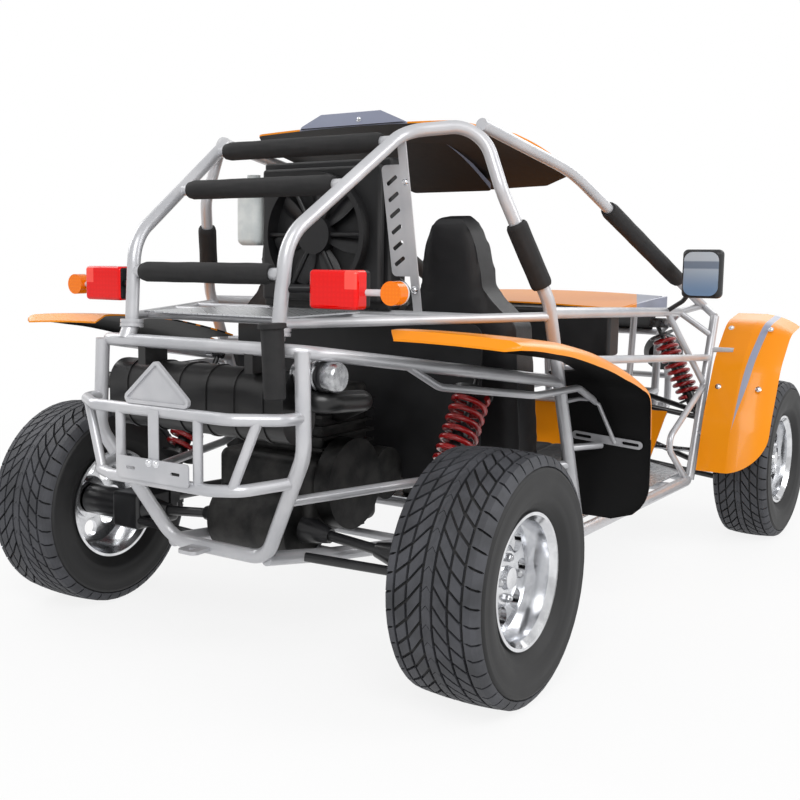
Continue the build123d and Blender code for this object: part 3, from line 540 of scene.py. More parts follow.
turnTree = Tree("copies round an axle", {"Source": "Object", "Count": "Int", "Finish": "Material"})
points = turnTree.add("GeometryNodePoints", {"Count": turnTree.read("Count")})
share = turnTree.add("ShaderNodeMath", {0: 2 * math.pi, 1: turnTree.read("Count")}, operation="DIVIDE")
index = turnTree.add("GeometryNodeInputIndex")
angle = turnTree.add("ShaderNodeMath", {0: index.outputs[0], 1: share.outputs[0]}, operation="MULTIPLY")
spin = turnTree.add("ShaderNodeCombineXYZ", {"X": angle.outputs[0]})
source = turnTree.add("GeometryNodeObjectInfo", {"Object": turnTree.read("Source")})
copies = turnTree.add("GeometryNodeInstanceOnPoints", {
    "Points": points.outputs[0], "Instance": source.outputs["Geometry"], "Rotation": spin.outputs[0]})
turnTree.close(copies.outputs[0])

placeTree = Tree("copies at places", {"Source": "Object", "Places": "Object", "Finish": "Material"})
source = placeTree.add("GeometryNodeObjectInfo", {"Object": placeTree.read("Source")})
places = placeTree.add("GeometryNodeObjectInfo", {"Object": placeTree.read("Places")})
turn = placeTree.add("GeometryNodeInputNamedAttribute", {"Name": "turn"}, data_type="FLOAT_VECTOR")
copies = placeTree.add("GeometryNodeInstanceOnPoints", {
    "Points": places.outputs["Geometry"], "Instance": source.outputs["Geometry"],
    "Rotation": turn.outputs[0]})
placeTree.close(copies.outputs[0])

coilTree = Tree("coil", {
    "Turns": "Float", "Radius": "Float", "Height": "Float", "Wire": "Float", "Finish": "Material"})
spiral = coilTree.add("GeometryNodeCurveSpiral", {
    "Resolution": 40, "Rotations": coilTree.read("Turns"), "Start Radius": coilTree.read("Radius"),
    "End Radius": coilTree.read("Radius"), "Height": coilTree.read("Height")})
wire = coilTree.add("GeometryNodeCurvePrimitiveCircle", {"Resolution": 12, "Radius": coilTree.read("Wire")})
coilMesh = coilTree.add("GeometryNodeCurveToMesh", {
    "Curve": spiral.outputs[0], "Profile Curve": wire.outputs[0], "Fill Caps": True})
coilTree.close(coilMesh.outputs[0])


# wheels

wheelSizes = {  # metres, as in the solids
    "rear": {"x": 0.692, "y": rearAxleY, "z": 0.307, "outer": 0.307, "half": 0.1225, "rimHalf": 0.100},
    "front": {"x": 0.754, "y": frontAxleY, "z": 0.300, "outer": 0.300, "half": 0.0975, "rimHalf": 0.075},
}
tread = {
    "pitches": 44, "depth": 0.0085, "gap": 0.0065, "rubber": 0.169, "bead": 0.1543,
    "rib": 0.078, "ribLead": 0.30, "tick": 0.0010,
    # first and last share of the half width, first and last lead in pitches, gap share
    "rows": ((0.128, 0.365, 0.0, 0.95, 1.5), (0.415, 0.615, 1.05, 1.60, 1.35)),
    # share of the half width, lead, gap share: slots closed at both ends
    "shoulder": ((0.665, 1.62, 0.0), (0.72, 1.68, 0.9), (0.79, 1.75, 0.9), (0.87, 1.80, 0.9),
                 (0.94, 1.83, 0.9), (1.0, 1.85, 0.0)),
    "wallRings": ((0.30, 0.0016), (0.36, 0.0016), (0.78, 0.0022), (0.84, 0.0022)),  # share down, rise
}


def tyreOutline(size):  # half outline from the crown down to the bead
    outer, half, seat = size["outer"], size["half"], size["rimHalf"] - 0.009
    edge, belly = half - 0.016, (outer + tread["rubber"]) / 2 + 0.012
    crown = arcThrough((-edge, outer - 0.006), (0, outer), (edge, outer - 0.006), 24)[12:]
    shoulder = arcThrough((edge, outer - 0.006), (half - 0.004, outer - 0.024), (half, belly), 14)
    waist = (half - 0.004, (belly + tread["rubber"]) / 2)
    wall = arcThrough((half, belly), waist, (seat + 0.002, tread["rubber"]), 12)
    return crown, shoulder, wall, (seat - 0.002, tread["bead"])


def walker(outline):  # place and outward normal at a distance along an outline
    spans = [0.0]
    for (ax, ay), (bx, by) in zip(outline, outline[1:]):
        spans.append(spans[-1] + math.hypot(bx - ax, by - ay))

    def at(distance):
        distance = max(0.0, min(distance, spans[-1] - 1e-6))
        i = max(k for k in range(len(spans) - 1) if spans[k] <= distance)
        share = (distance - spans[i]) / (spans[i + 1] - spans[i])
        (ax, ay), (bx, by) = outline[i], outline[i + 1]
        length = math.hypot(bx - ax, by - ay)
        normal = (-(by - ay) / length, (bx - ax) / length)
        return ax + (bx - ax) * share, ay + (by - ay) * share, normal
    return at


def treadPitch(size, at, reach):  # one pitch of blocks over both halves of the tread
    shape = bmesh.new()
    pitch = 2 * math.pi / tread["pitches"]
    gap = tread["gap"] / size["outer"]

    def block(across, low, high):
        grid = []
        for t, a, b in zip(across, low, high):
            x, r, (nx, nr) = at(abs(t) * reach)
            side = 1 if t >= 0 else -1
            for angle in (a, b):
                for drop in (0.0, tread["depth"] * 1.25):
                    radius = r - nr * drop
                    spread = 1.0 if drop == 0.0 else 1.004
                    wide = side * (x - nx * drop) * spread
                    place = (wide, radius * math.sin(angle), radius * math.cos(angle))
                    grid.append(shape.verts.new(place))
        for i in range(len(across) - 1):
            a, b = 4 * i, 4 * (i + 1)
            for p, q in ((0, 2), (1, 0), (2, 3), (3, 1)):
                shape.faces.new((grid[a + p], grid[b + p], grid[b + q], grid[a + q]))
        for a in (0, 4 * (len(across) - 1)):
            shape.faces.new((grid[a], grid[a + 1], grid[a + 3], grid[a + 2]))

    rib, tick = tread["rib"], tread["tick"] / size["outer"]
    leads = (-pitch * tread["ribLead"], 0.0, -pitch * tread["ribLead"])
    block((-rib, 0.0, rib), [a + tick for a in leads], [a + pitch - tick for a in leads])
    for side in (1, -1):
        for first, last, lead, trail, share in tread["rows"]:
            across, low, high = [], [], []
            for j in range(4):
                start = -pitch * (lead + (trail - lead) * j / 3)
                across.append(side * (first + (last - first) * j / 3))
                low.append(start + gap * share / 2)
                high.append(start + pitch - gap * share / 2)
            block(across, low, high)
        across = [side * reached for reached, lead, share in tread["shoulder"]]
        low = [-pitch * lead + gap * share / 2 for reached, lead, share in tread["shoulder"]]
        high = [-pitch * lead + pitch - gap * share / 2 for reached, lead, share in tread["shoulder"]]
        block(across, low, high)
    return toMesh("pitch", shape)


def buildTyre(name, size):
    crown, shoulder, wall, bead = tyreOutline(size)
    at = walker(crown + shoulder[1:])
    reach = sum(math.dist(a, b) for a, b in zip(crown + shoulder[1:7], crown[1:] + shoulder[1:8]))
    right = []
    for i in range(33):  # groove floor, rising to the full outline past the shoulder blocks
        distance = reach * 1.12 * i / 32
        x, r, (nx, nr) = at(distance)
        rise = min(1.0, max(0.0, (distance / reach - 0.93) / 0.15))
        drop = tread["depth"] * (1 - rise * rise * (3 - 2 * rise))
        right.append((x - nx * drop, r - nr * drop))
    right += [p for p in shoulder + wall[1:] if p[1] < right[-1][1] - 0.002]
    low = len(right)
    for step, out in tread["wallRings"]:
        ring = 22 + round(step * (low - 23))
        right[ring] = (right[ring][0] + out, right[ring][1])
    right.append(bead)
    outline = [(-x, r) for x, r in reversed(right[1:])] + right
    carcass = toMesh(name, turned(outline, 120))
    source = sourceObject(treadPitch(size, at, reach))
    blocks = turnTree.run("blocks", "treadRubber", {"Source": source, "Count": tread["pitches"]})
    bpy.data.objects.remove(source)
    return carcass, blocks


lug = {
    "count": 4, "ring": 0.050, "face": 0.042, "across": 0.019, "height": 0.017,
    "dome": ((1.0, 0.0), (1.0, 0.55), (0.8, 0.7), (0.62, 0.9), (0.3, 1.0)),  # shares of radius and height
}


def lugMesh():  # one domed nut on the hub's face, six-sided
    shape = bmesh.new()
    r, h = lug["across"] / 2 / math.cos(math.pi / 6), lug["height"]
    rings = []
    for wide, high in lug["dome"]:
        x, radius = lug["face"] + h * high, r * wide
        ring = []
        for k in range(6):
            turn = math.pi * k / 3
            place = (x, radius * math.cos(turn), lug["ring"] + radius * math.sin(turn))
            ring.append(shape.verts.new(place))
        rings.append(ring)
    loft(shape, rings)
    return toMesh("nut", shape)


nutSource = sourceObject(lugMesh())
for end, size in wheelSizes.items():
    for side, sign in (("left", -1), ("right", 1)):
        body = f"{end}_wheel_{side}"
        centre = Vector((sign * size["x"], size["y"], size["z"]))
        carcass, blocks = buildTyre(f"{end}_carcass_{side}", size)
        for mesh in (carcass, blocks):
            mesh.transform(Matrix.Translation(centre))
        thing = piece(f"{end}_carcass_{side}", carcass, "carcassRubber", body)
        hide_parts(f"{end}_tyre_{side}")
        piece(f"{end}_tread_{side}", blocks, "treadRubber", body, smooth=False)
        nuts = turnTree.run("nuts", "plainSteel", {"Source": nutSource, "Count": lug["count"]})
        nuts.transform(Matrix.Translation(centre) @ Matrix.Diagonal((sign, 1, 1, 1)))
        if sign < 0:
            nuts.flip_normals()
        piece(f"{end}_lug_nuts_{side}", nuts, "plainSteel", body)
bpy.data.objects.remove(nutSource)
print("wheels dressed")


# springs

springs = {  # damper eyes on the right side, coil's outer diameter
    "rear": {"low": (0.468, rearAxleY + 0.108, 0.385), "top": (0.468, rearAxleY + 0.3401, 0.7515),
             "outer": 0.105, "turns": 9.5},
    "front": {"low": (0.5086, frontAxleY, 0.4425), "top": (0.3245, frontAxleY, 0.7992),
              "outer": 0.090, "turns": 9.5},
    "wire": 0.0078, "first": 0.17, "last": 0.86, "collar": 0.004,
}
coils = []
for end in ("rear", "front"):
    spring = springs[end]
    low, top = Vector(spring["low"]), Vector(spring["top"])
    length = (top - low).length
    start = springs["first"] * length + springs["collar"] + springs["wire"]
    height = springs["last"] * length - springs["collar"] - springs["wire"] - start
    for sign in (1, -1):
        coil = coilTree.run("coil", "springRed", {
            "Turns": spring["turns"], "Radius": spring["outer"] / 2 - springs["wire"],
            "Height": height, "Wire": springs["wire"]})
        flip = Matrix.Diagonal((sign, 1, 1, 1))
        ends = [flip @ low, flip @ top]
        coil.transform(frameAlong(*ends) @ Matrix.Translation((0, 0, start)))
        coils.append(coil)
thing = piece("spring_coils", joined("spring_coils", coils), "springRed")
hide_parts("coil_springs")
print("springs wound")


# foam sleeves on the cage

sleeves = {
    "wall": 0.011, "slack": 0.0006, "around": 44, "along": 28, "seam": 0.0016, "lump": 0.0012,
    "tuck": 0.004, "tuckLength": 0.012,
}
barRadius = 0.015
barEnds = [
    (0.2159, rearAxleY - 0.2490, 1.0242), (0.2444, rearAxleY - 0.0317, 1.2454),
    (0.2667, rearAxleY + 0.1506, 1.3638),
]
pillarRuns = [  # upper end, lower end, first and last share, tube radius
    ((0.522, rearAxleY + 0.345, 1.235), (0.610, rearAxleY + 0.460, 0.945), 0.28, 0.86, 0.018),
    ((0.470, rearAxleY + 0.900, 1.322), (0.540, frontAxleY - 0.105, 0.878), 0.235, 0.77, 0.017),
]


def sleeveShape(start, end, tube, seed):
    start, end = Vector(start), Vector(end)
    place = frameAlong(start, end)
    length = (end - start).length
    inner, outer = tube + sleeves["slack"], tube + sleeves["wall"]
    shape = bmesh.new()
    rings = []
    around, along = sleeves["around"], sleeves["along"]
    for i in range(along + 1):
        z = length * i / along
        edge = min(z, length - z)
        tuck = sleeves["tuck"] * max(0.0, 1 - edge / sleeves["tuckLength"]) ** 2
        ring = []
        for k in range(around):
            turn = 2 * math.pi * k / around
            spot = Vector((math.cos(turn) * 3, math.sin(turn) * 3, z * 14 + seed))
            radius = outer - tuck + sleeves["lump"] * noise.noise(spot)
            radius -= sleeves["seam"] if k == 0 else 0.0
            spot = place @ Vector((radius * math.cos(turn), radius * math.sin(turn), z))
            ring.append(shape.verts.new(spot))
        rings.append(ring)
    for z in (length, 0.0):
        ring = []
        for k in range(around):
            turn = 2 * math.pi * k / around
            spot = place @ Vector((inner * math.cos(turn), inner * math.sin(turn), z))
            ring.append(shape.verts.new(spot))
        rings.append(ring)
    loft(shape, rings, closed=True)
    return toMesh("sleeve", shape)


parts = []
for number, (x, y, z) in enumerate(barEnds):
    parts.append(sleeveShape((-x, y, z), (x, y, z), barRadius, number * 7.0))
for number, (top, foot, first, last, tube) in enumerate(pillarRuns):
    top, foot = Vector(top), Vector(foot)
    for sign in (1, -1):
        flip = Matrix.Diagonal((sign, 1, 1, 1))
        start, end = flip @ top.lerp(foot, first), flip @ top.lerp(foot, last)
        parts.append(sleeveShape(start, end, tube, 30 + number * 9 + sign))
thing = piece("foam_sleeves", joined("foam_sleeves", parts), "foamSleeve")
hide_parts("cage_pads")
print("sleeves fitted")


# small shapes

def mirroredPlaces(places):  # the same on the left side
    return places + [((-p[0], p[1], p[2]), (-n[0], n[1], n[2])) for p, n in places]


def atPlaces(name, shape, places, finish):  # copies of a shape with its X axis along each normal
    mesh = bpy.data.meshes.new("places")
    mesh.from_pydata([place for place, normal in places], [], [])
    turns = mesh.attributes.new("turn", "FLOAT_VECTOR", "POINT")
    for item, (place, normal) in zip(turns.data, places):
        item.vector = Vector(normal).to_track_quat("X", "Z").to_euler()
    source, spots = sourceObject(toMesh(name, shape, 1e-5)), sourceObject(mesh)
    copies = placeTree.run(name, finish, {"Source": source, "Places": spots})
    bpy.data.objects.remove(source)
    bpy.data.objects.remove(spots)
    return copies


def studs(name, outline, steps, places, finish):  # a turned outline copied to places, as a piece
    piece(name, atPlaces(name, turned(outline, steps), places, finish), finish)


def placed(shape, start, way):  # a turned shape moved to start, its X axis along way
    mesh = toMesh("turned", shape, 1e-5)
    mesh.transform(Matrix.Translation(start) @ Vector(way).to_track_quat("X", "Z").to_matrix().to_4x4())
    return mesh


def flatPlate(outline, holes, thick):  # a plate in XZ from y = 0 to thick
    shape = bmesh.new()
    edges = []
    for loop in [outline] + holes:
        corners = [shape.verts.new((x, 0, z)) for x, z in loop]
        edges += [shape.edges.new(pair) for pair in zip(corners, corners[1:] + corners[:1])]
    bmesh.ops.triangle_fill(shape, use_beauty=True, use_dissolve=False, edges=edges)
    grown = bmesh.ops.extrude_face_region(shape, geom=shape.faces[:], use_keep_orig=True)
    moved = [item for item in grown["geom"] if isinstance(item, bmesh.types.BMVert)]
    bmesh.ops.translate(shape, verts=moved, vec=(0, thick, 0))
    return shape


def roundedLoop(width, height, radius, steps=6, middle=(0.0, 0.0)):
    loop = []
    corners = ((1, 1, 0), (-1, 1, 90), (-1, -1, 180), (1, -1, 270))
    for sx, sz, first in corners:
        for k in range(steps + 1):
            turn = math.radians(first + 90 * k / steps)
            x = middle[0] + sx * (width / 2 - radius) + radius * math.cos(turn)
            z = middle[1] + sz * (height / 2 - radius) + radius * math.sin(turn)
            loop.append((x, z))
    return loop


# bolts

bolt = [  # along, radius
    (-0.002, 0.0), (-0.002, 0.0105), (0.0006, 0.0105), (0.0012, 0.0072), (0.0034, 0.0066),
    (0.0052, 0.0042), (0.0058, 0.0),
]
fenderBolts = {
    "line": [(0.045, 0.842), (-0.095, 0.815), (-0.225, 0.690), (-0.330, 0.480), (-0.385, 0.292)],
    "rows": ((1, 0.795, (0.655, 0.797)), (2, 0.590, (0.664, 0.806))),  # run of the line, height, X of each
    "stand": 0.0048,
}


def fenderPlaces():  # on the rear face of the front fender
    line = fenderBolts["line"]
    places = []
    for run, height, spots in fenderBolts["rows"]:
        (ya, za), (yb, zb) = line[run], line[run + 1]
        y = ya + (yb - ya) * (height - za) / (zb - za)
        normal = Vector((0, zb - za, ya - yb)).normalized()
        for x in spots:
            place = Vector((x, frontAxleY + y, height)) + normal * fenderBolts["stand"]
            places.append((tuple(place), tuple(normal)))
    return places


boltPlaces = mirroredPlaces(fenderPlaces())
boltPlaces += [  # on the radiator's side plate
    ((0.306, rearAxleY + 0.2075, 1.262), (0, -1, -0.2)), ((0.303, rearAxleY + 0.268, 0.975), (0, -1, -0.2)),
]
boltPlaces += [((x, -1.4829, 0.565), (0, -1, 0)) for x in (-0.012, 0.012)]  # on the plate bracket
boltPlaces.append(((0.030, rearAxleY + 0.3955, 1.4615), (0, -0.9, 0.5)))  # on the roof's rear edge
studs("bolt_heads", bolt, 20, boltPlaces, "chrome")


# stay and slotted strap on the rear flap

strap = {
    "length": 0.215, "height": 0.024, "thick": 0.004, "corner": 0.0118, "tilt": 4.0,
    "middle": (0.672, rearAxleY + 0.7485, 0.535),
    "slot": (0.050, 0.009, 0.0044), "slotAt": (-0.072, 0.072),  # length, height, corner
}


def strapMesh(sign):
    loop = roundedLoop(strap["length"], strap["height"], strap["corner"])
    holes = [roundedLoop(*strap["slot"], middle=(x, 0.0)) for x in strap["slotAt"]]
    mesh = toMesh("strap", flatPlate(loop, holes, strap["thick"]))
    tilt = Matrix.Rotation(math.radians(strap["tilt"]), 4, "Y")
    mesh.transform(Matrix.Translation(strap["middle"]) @ tilt)
    if sign < 0:
        mesh.transform(Matrix.Diagonal((-1, 1, 1, 1)))
        mesh.flip_normals()
    return mesh


stay = {
    "radius": 0.006,
    "path": [(0.618, 0.568, 0.662), (0.628, 0.640, 0.664), (0.640, 0.700, 0.658), (0.652, 0.730, 0.640),
             (0.700, 0.7445, 0.528)],
}


def stayMesh(sign):  # round bar through points given from the rear axle
    line = bpy.data.curves.new("bar", "CURVE")
    line.dimensions = "3D"
    line.bevel_depth = stay["radius"]
    line.bevel_resolution = 8
    line.use_fill_caps = True
    run = line.splines.new("POLY")
    run.points.add(len(stay["path"]) - 1)
    for point, (x, y, z) in zip(run.points, stay["path"]):
        point.co = (sign * x, rearAxleY + y, z, 1.0)
    thing = bpy.data.objects.new("bar", line)
    scene.collection.objects.link(thing)
    return baked(thing)


piece("flap_stays", pair("flap_stays", stayMesh), "silverPaint")
piece("flap_straps", pair("flap_straps", strapMesh), "silverPaint")


# rear fenders in full width, hood sides and the panel behind the seats

fenderSkin = {  # line forward of the axle and up; tables by distance along the line
    "line": [(-0.155, 0.897), (-0.08, 0.895), (0.0, 0.889), (0.13, 0.874), (0.30, 0.841), (0.43, 0.808),
             (0.56, 0.768), (0.655, 0.734), (0.715, 0.706), (0.748, 0.672), (0.762, 0.622), (0.764, 0.55),
             (0.764, 0.420), (0.764, 0.302)],
    "outer": [(0.0, 0.826), (0.45, 0.834), (0.70, 0.824), (0.90, 0.808), (1.0, 0.802), (2.0, 0.800)],
    "inner": [(0.0, 0.485), (0.60, 0.485), (0.645, 0.637), (0.775, 0.637), (0.82, 0.530), (2.0, 0.530)],
    "drop": [(0.0, 0.014), (0.20, 0.022), (0.44, 0.030), (0.66, 0.030), (0.82, 0.024), (0.94, 0.014),
             (1.1, 0.006), (2.0, 0.003)],
    "crown": [(0.0, 0.012), (0.20, 0.014), (0.66, 0.010), (0.94, 0.004), (1.1, 0.0), (2.0, 0.0)],
    "crownFrom": 0.50, "crownTo": 0.83, "spread": 1.6,  # spread: points closer towards the outer edge
    "rear": 0.030, "rearDrop": 0.021, "roll": 0.050, "thick": 0.005, "along": 64, "across": 22,
    "corners": (0.020, 0.035, 0.110),  # inner rear, outer rear, foot of the flap
}


def readTable(table, spot):
    for (a, low), (b, high) in zip(table, table[1:]):
        if spot <= b:
            return low + (high - low) * (spot - a) / (b - a)
    return table[-1][1]


def smoothLine(points, steps):  # even points on a curve through the given ones
    ends = [2 * Vector(points[0]) - Vector(points[1])] + [Vector(p) for p in points]
    ends.append(2 * ends[-1] - ends[-2])
    fine = []
    for a, b, c, d in zip(ends, ends[1:], ends[2:], ends[3:]):
        for k in range(24):
            t = k / 24
            square, cube = 2 * a - 5 * b + 4 * c - d, 3 * b - a - 3 * c + d
            fine.append(0.5 * (2 * b + (c - a) * t + square * t ** 2 + cube * t ** 3))
    fine.append(ends[-2])
    at = walker([(p[0], p[1]) for p in fine])
    length = sum((b - a).length for a, b in zip(fine, fine[1:]))
    return [(length * k / steps, *at(length * k / steps)) for k in range(steps + 1)], length


def cornerCut(distance, radius):  # how far a rounded corner draws the edge in
    short = max(0.0, radius - distance)
    return radius - math.sqrt(max(0.0, radius ** 2 - short ** 2))


def quarter(share):  # fall along a quarter ellipse
    return 1 - math.sqrt(max(0.0, 1 - share * share))


def skinMesh(sign):
    f = fenderSkin
    shape = bmesh.new()
    stations, length = smoothLine(f["line"], f["along"])
    outside, inside = [], []
    innerCorner, outerCorner, flapCorner = f["corners"]
    for spot, y, z, (ny, nz) in stations:
        outer = readTable(f["outer"], spot) - cornerCut(spot, outerCorner)
        outer -= cornerCut(length - spot, flapCorner)
        inner = readTable(f["inner"], spot) + cornerCut(spot, innerCorner)
        drop = readTable(f["drop"], spot)
        rows = ([], [])
        for k in range(f["across"] + 1):
            share = k / f["across"]
            x = inner + (outer - inner) * (1 - (1 - share) ** f["spread"])
            t = max(0.0, (x - outer + f["roll"]) / f["roll"])
            back = max(0.0, 1 - spot / f["rear"])
            arch = max(0.0, x - f["crownFrom"]) / (f["crownTo"] - f["crownFrom"])
            fall = max(drop * quarter(t), f["rearDrop"] * quarter(back))
            fall += readTable(f["crown"], spot) * arch * arch
            for row, depth in zip(rows, (fall, fall + f["thick"])):
                row.append(shape.verts.new((sign * x, rearAxleY + y - ny * depth, z - nz * depth)))
        outside.append(rows[0])
        inside.append(rows[1])
    for rows in (outside, inside):
        for a, b in zip(rows, rows[1:]):
            for k in range(f["across"]):
                shape.faces.new((a[k], a[k + 1], b[k + 1], b[k]))
    for i in range(f["along"]):
        for k in (0, f["across"]):
            shape.faces.new((outside[i][k], outside[i + 1][k], inside[i + 1][k], inside[i][k]))
    for i in (0, f["along"]):
        for k in range(f["across"]):
            shape.faces.new((outside[i][k], outside[i][k + 1], inside[i][k + 1], inside[i][k]))
    return toMesh("skin", shape)


skins = piece("rear_fender_skins", pair("rear_fender_skins", skinMesh), "rearFender")
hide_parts("rear_fenders")

skirt = {  # forward of the rear axle, top and foot height
    "rows": [(1.312, 0.886, 0.878), (1.50, 0.902, 0.878), (1.66, 0.912, 0.876), (1.80, 0.918, 0.872)],
    "x": 0.4655, "thick": 0.004, "slope": 0.002,
}


def skirtMesh(sign):
    shape = bmesh.new()
    rows = []
    for y, high, low in skirt["rows"]:
        row = []
        corners = ((0, high), (skirt["thick"], high - skirt["slope"]), (skirt["thick"], low), (0, low))
        for x, z in corners:
            row.append(shape.verts.new((sign * (skirt["x"] + x), rearAxleY + y, z)))
        rows.append(row)
    loft(shape, rows)
    return toMesh("skirt", shape)


piece("hood_sides", pair("hood_sides", skirtMesh), "hoodPanel", smooth=False)

firewall = {  # outline: width, height, corner
    "outline": (0.88, 0.462, 0.040), "middle": (0.0, 0.649), "thick": 0.005, "ahead": 0.405,
}
loop = roundedLoop(*firewall["outline"], middle=firewall["middle"])
wall = toMesh("firewall", flatPlate(loop, [], firewall["thick"]))
wall.transform(Matrix.Translation((0, rearAxleY + firewall["ahead"], 0)))
piece("firewall", wall, "blackPlastic")
print("panels shaped")


# exhaust bellows, clamp and the sleeve beside the upright

bellows = {
    "radius": 0.037, "crest": 0.003, "bore": 0.029, "rings": 6, "pitch": 0.012, "length": 0.074,
    "place": (0.268, rearAxleY - 0.214, 0.782),
    "cuff": [(0.092, 0.0), (0.092, 0.0365), (0.122, 0.0365), (0.128, 0.032), (0.129, 0.0)],
    "clamp": [(0.0735, 0.029), (0.0735, 0.037), (0.076, 0.0385), (0.089, 0.0385), (0.0925, 0.037),
              (0.0925, 0.029)],
}


def bellowsLine():
    high, low = bellows["radius"], bellows["radius"] - bellows["crest"]
    outline = [(0.0, bellows["bore"])]
    for k in range(bellows["rings"]):
        x = k * bellows["pitch"]
        outline += [(x + 0.001, low), (x + 0.004, high), (x + 0.007, high), (x + 0.010, low)]
    return outline + [(bellows["length"], bellows["bore"])]


def onPipe(outline):
    return placed(turned(outline, 48), bellows["place"], (1, 0, 0))


hose = joined("exhaust_bellows", [onPipe(bellowsLine()), onPipe(bellows["cuff"])])
piece("exhaust_bellows", hose, "plainSteel")
piece("exhaust_clamp", onPipe(bellows["clamp"]), "blackPaint")

grip = {  # outlines as along, radius
    "sleeve": [(0.0, 0.0), (0.0, 0.022), (0.004, 0.0265), (0.150, 0.0275), (0.166, 0.0275), (0.168, 0.034),
               (0.178, 0.034), (0.180, 0.030), (0.180, 0.0)],
    "foot": (0.294, rearAxleY - 0.336, 0.733), "way": (-0.05, 0.0, 1.0),
    "arm": [(0.0, 0.0), (0.0, 0.009), (0.060, 0.009), (0.060, 0.0)],
    "armFoot": (0.2845, rearAxleY - 0.330, 0.899), "armWay": (-0.40, 1.0, -0.12),
}
sleeveMesh = placed(turned(grip["sleeve"], 40), grip["foot"], grip["way"])
piece("post_sleeve", sleeveMesh, "foamSleeve")
armMesh = placed(turned(grip["arm"], 20), grip["armFoot"], grip["armWay"])
piece("sleeve_bracket", armMesh, "silverPaint")

flange = [(-0.010, 0.0225), (-0.010, 0.031), (-0.0015, 0.031), (-0.0015, 0.029), (0.0015, 0.029),
          (0.0015, 0.031), (0.010, 0.031), (0.010, 0.0225)]
footPlaces = mirroredPlaces([((0.247, rearAxleY - 0.263, 0.888), (0.04, 0.10, 1.0))])
studs("cage_flanges", flange, 40, footPlaces, "silverPaint")


# mirror glasses, lamp glasses, dials

mirror = {"middle": (0.648, frontAxleY - 0.4885, 1.005), "outline": (0.120, 0.152, 0.030), "thick": 0.003}


def glassMesh(sign):
    mesh = toMesh("glass", flatPlate(roundedLoop(*mirror["outline"]), [], mirror["thick"]))
    x, y, z = mirror["middle"]
    mesh.transform(Matrix.Translation((sign * x, y, z)))
    return mesh


piece("mirror_glasses", pair("mirror_glasses", glassMesh), "mirrorGlass", smooth=False)

lens = [(0.0, 0.0), (0.0, 0.070), (0.004, 0.069), (0.010, 0.055), (0.0145, 0.030), (0.016, 0.0)]
bezel = [(-0.016, 0.0752), (-0.016, 0.079), (0.006, 0.079), (0.008, 0.075), (0.006, 0.069),
         (0.0002, 0.069), (0.0002, 0.0752)]
eyes = mirroredPlaces([((0.245, frontAxleY + 0.3602, 0.655), (0, 1, 0))])
studs("lamp_lenses", lens, 48, eyes, "clearLens")
studs("lamp_bezels", bezel, 48, eyes, "chrome")

dial = [(-0.002, 0.0), (-0.002, 0.046), (0.008, 0.046), (0.010, 0.043), (0.008, 0.040), (0.003, 0.039),
        (0.003, 0.0)]
dials = [((x, rearAxleY + 1.2648, 0.806), (0, -1, 0.0)) for x in (-0.352, -0.248)]
studs("dash_dials", dial, 40, dials, "chrome")
print("small pieces placed")


# fan

fan = {
    "blades": 7, "root": 0.052, "tip": 0.150, "chord": 0.046, "pitch": 28.0, "thick": 0.0022, "bow": 0.004,
    "middle": (0, rearAxleY + 0.2345, 1.1255),
}


def bladeMesh():
    shape = bmesh.new()
    rows = []
    for i in range(7):
        share = i / 6
        radius = fan["root"] + (fan["tip"] - fan["root"]) * share
        half = fan["chord"] * (0.36 + 0.22 * math.sin(math.pi * share * 0.8))
        lean = math.radians(fan["pitch"] * (1.15 - 0.4 * share))
        row = []
        for face in (1, -1):
            for k in range(5):
                t = -1 + 0.5 * k
                bow = fan["bow"] * (1 - t * t) + face * fan["thick"] / 2
                along = t * half
                x = along * math.sin(lean) - bow * math.cos(lean)
                y = along * math.cos(lean) + bow * math.sin(lean)
                row.append(shape.verts.new((x, y, radius)))
        rows.append(row[:5] + row[:4:-1])
    loft(shape, rows)
    return toMesh("blade", shape)


bladeSource = sourceObject(bladeMesh())
blades = turnTree.run("fan_blades", "blackPlastic", {"Source": bladeSource, "Count": fan["blades"]})
bpy.data.objects.remove(bladeSource)
blades.transform(Matrix.Translation(fan["middle"]) @ Matrix.Rotation(math.radians(90), 4, "Z"))
piece("fan_blades", blades, "blackPlastic")


# seats, swollen as cloth from the solid's own form

seatPad = {
    "voxel": 0.009, "inset": 0.008, "pressure": 4.0, "frames": 20, "cap": 0.012,
    "seam": 0.0055, "seamHalf": 0.007, "pleat": 0.085, "panel": 0.105, "piping": 0.0026,
    "cushion": 0.52, "pipingFrom": 0.5, "pleatTop": 1.0,  # heights where back, piping and plain head begin
    "middle": 0.300, "shift": 0.005, "apart": 0.600,
    "neck": 1.0, "head": 0.173, "lift": 0.030,
    "slimFrom": 0.86, "slimOver": 0.12, "slim": 0.17, "dome": 0.95, "domeLeast": 0.12,
}


def modified(mesh, kind, settings):  # a mesh after one modifier
    thing = sourceObject(mesh)
    change = thing.modifiers.new(kind, kind)
    for key, value in settings.items():
        setattr(change, key, value)
    return baked(thing)


def swollen(mesh):
    rest = [v.co.copy() for v in mesh.vertices]
    thing = sourceObject(mesh)
    cloth = thing.modifiers.new("fill", "CLOTH").settings
    cloth.use_pressure = True
    cloth.uniform_pressure_force = seatPad["pressure"]
    cloth.effector_weights.gravity = 0.0
    for number in range(1, seatPad["frames"] + 1):
        scene.frame_set(number)
    full = baked(thing)
    scene.frame_set(1)
    for vertex, start in zip(full.vertices, rest):
        move = vertex.co - start
        if move.length > seatPad["cap"]:
            vertex.co = start + move.normalized() * seatPad["cap"]
    return full


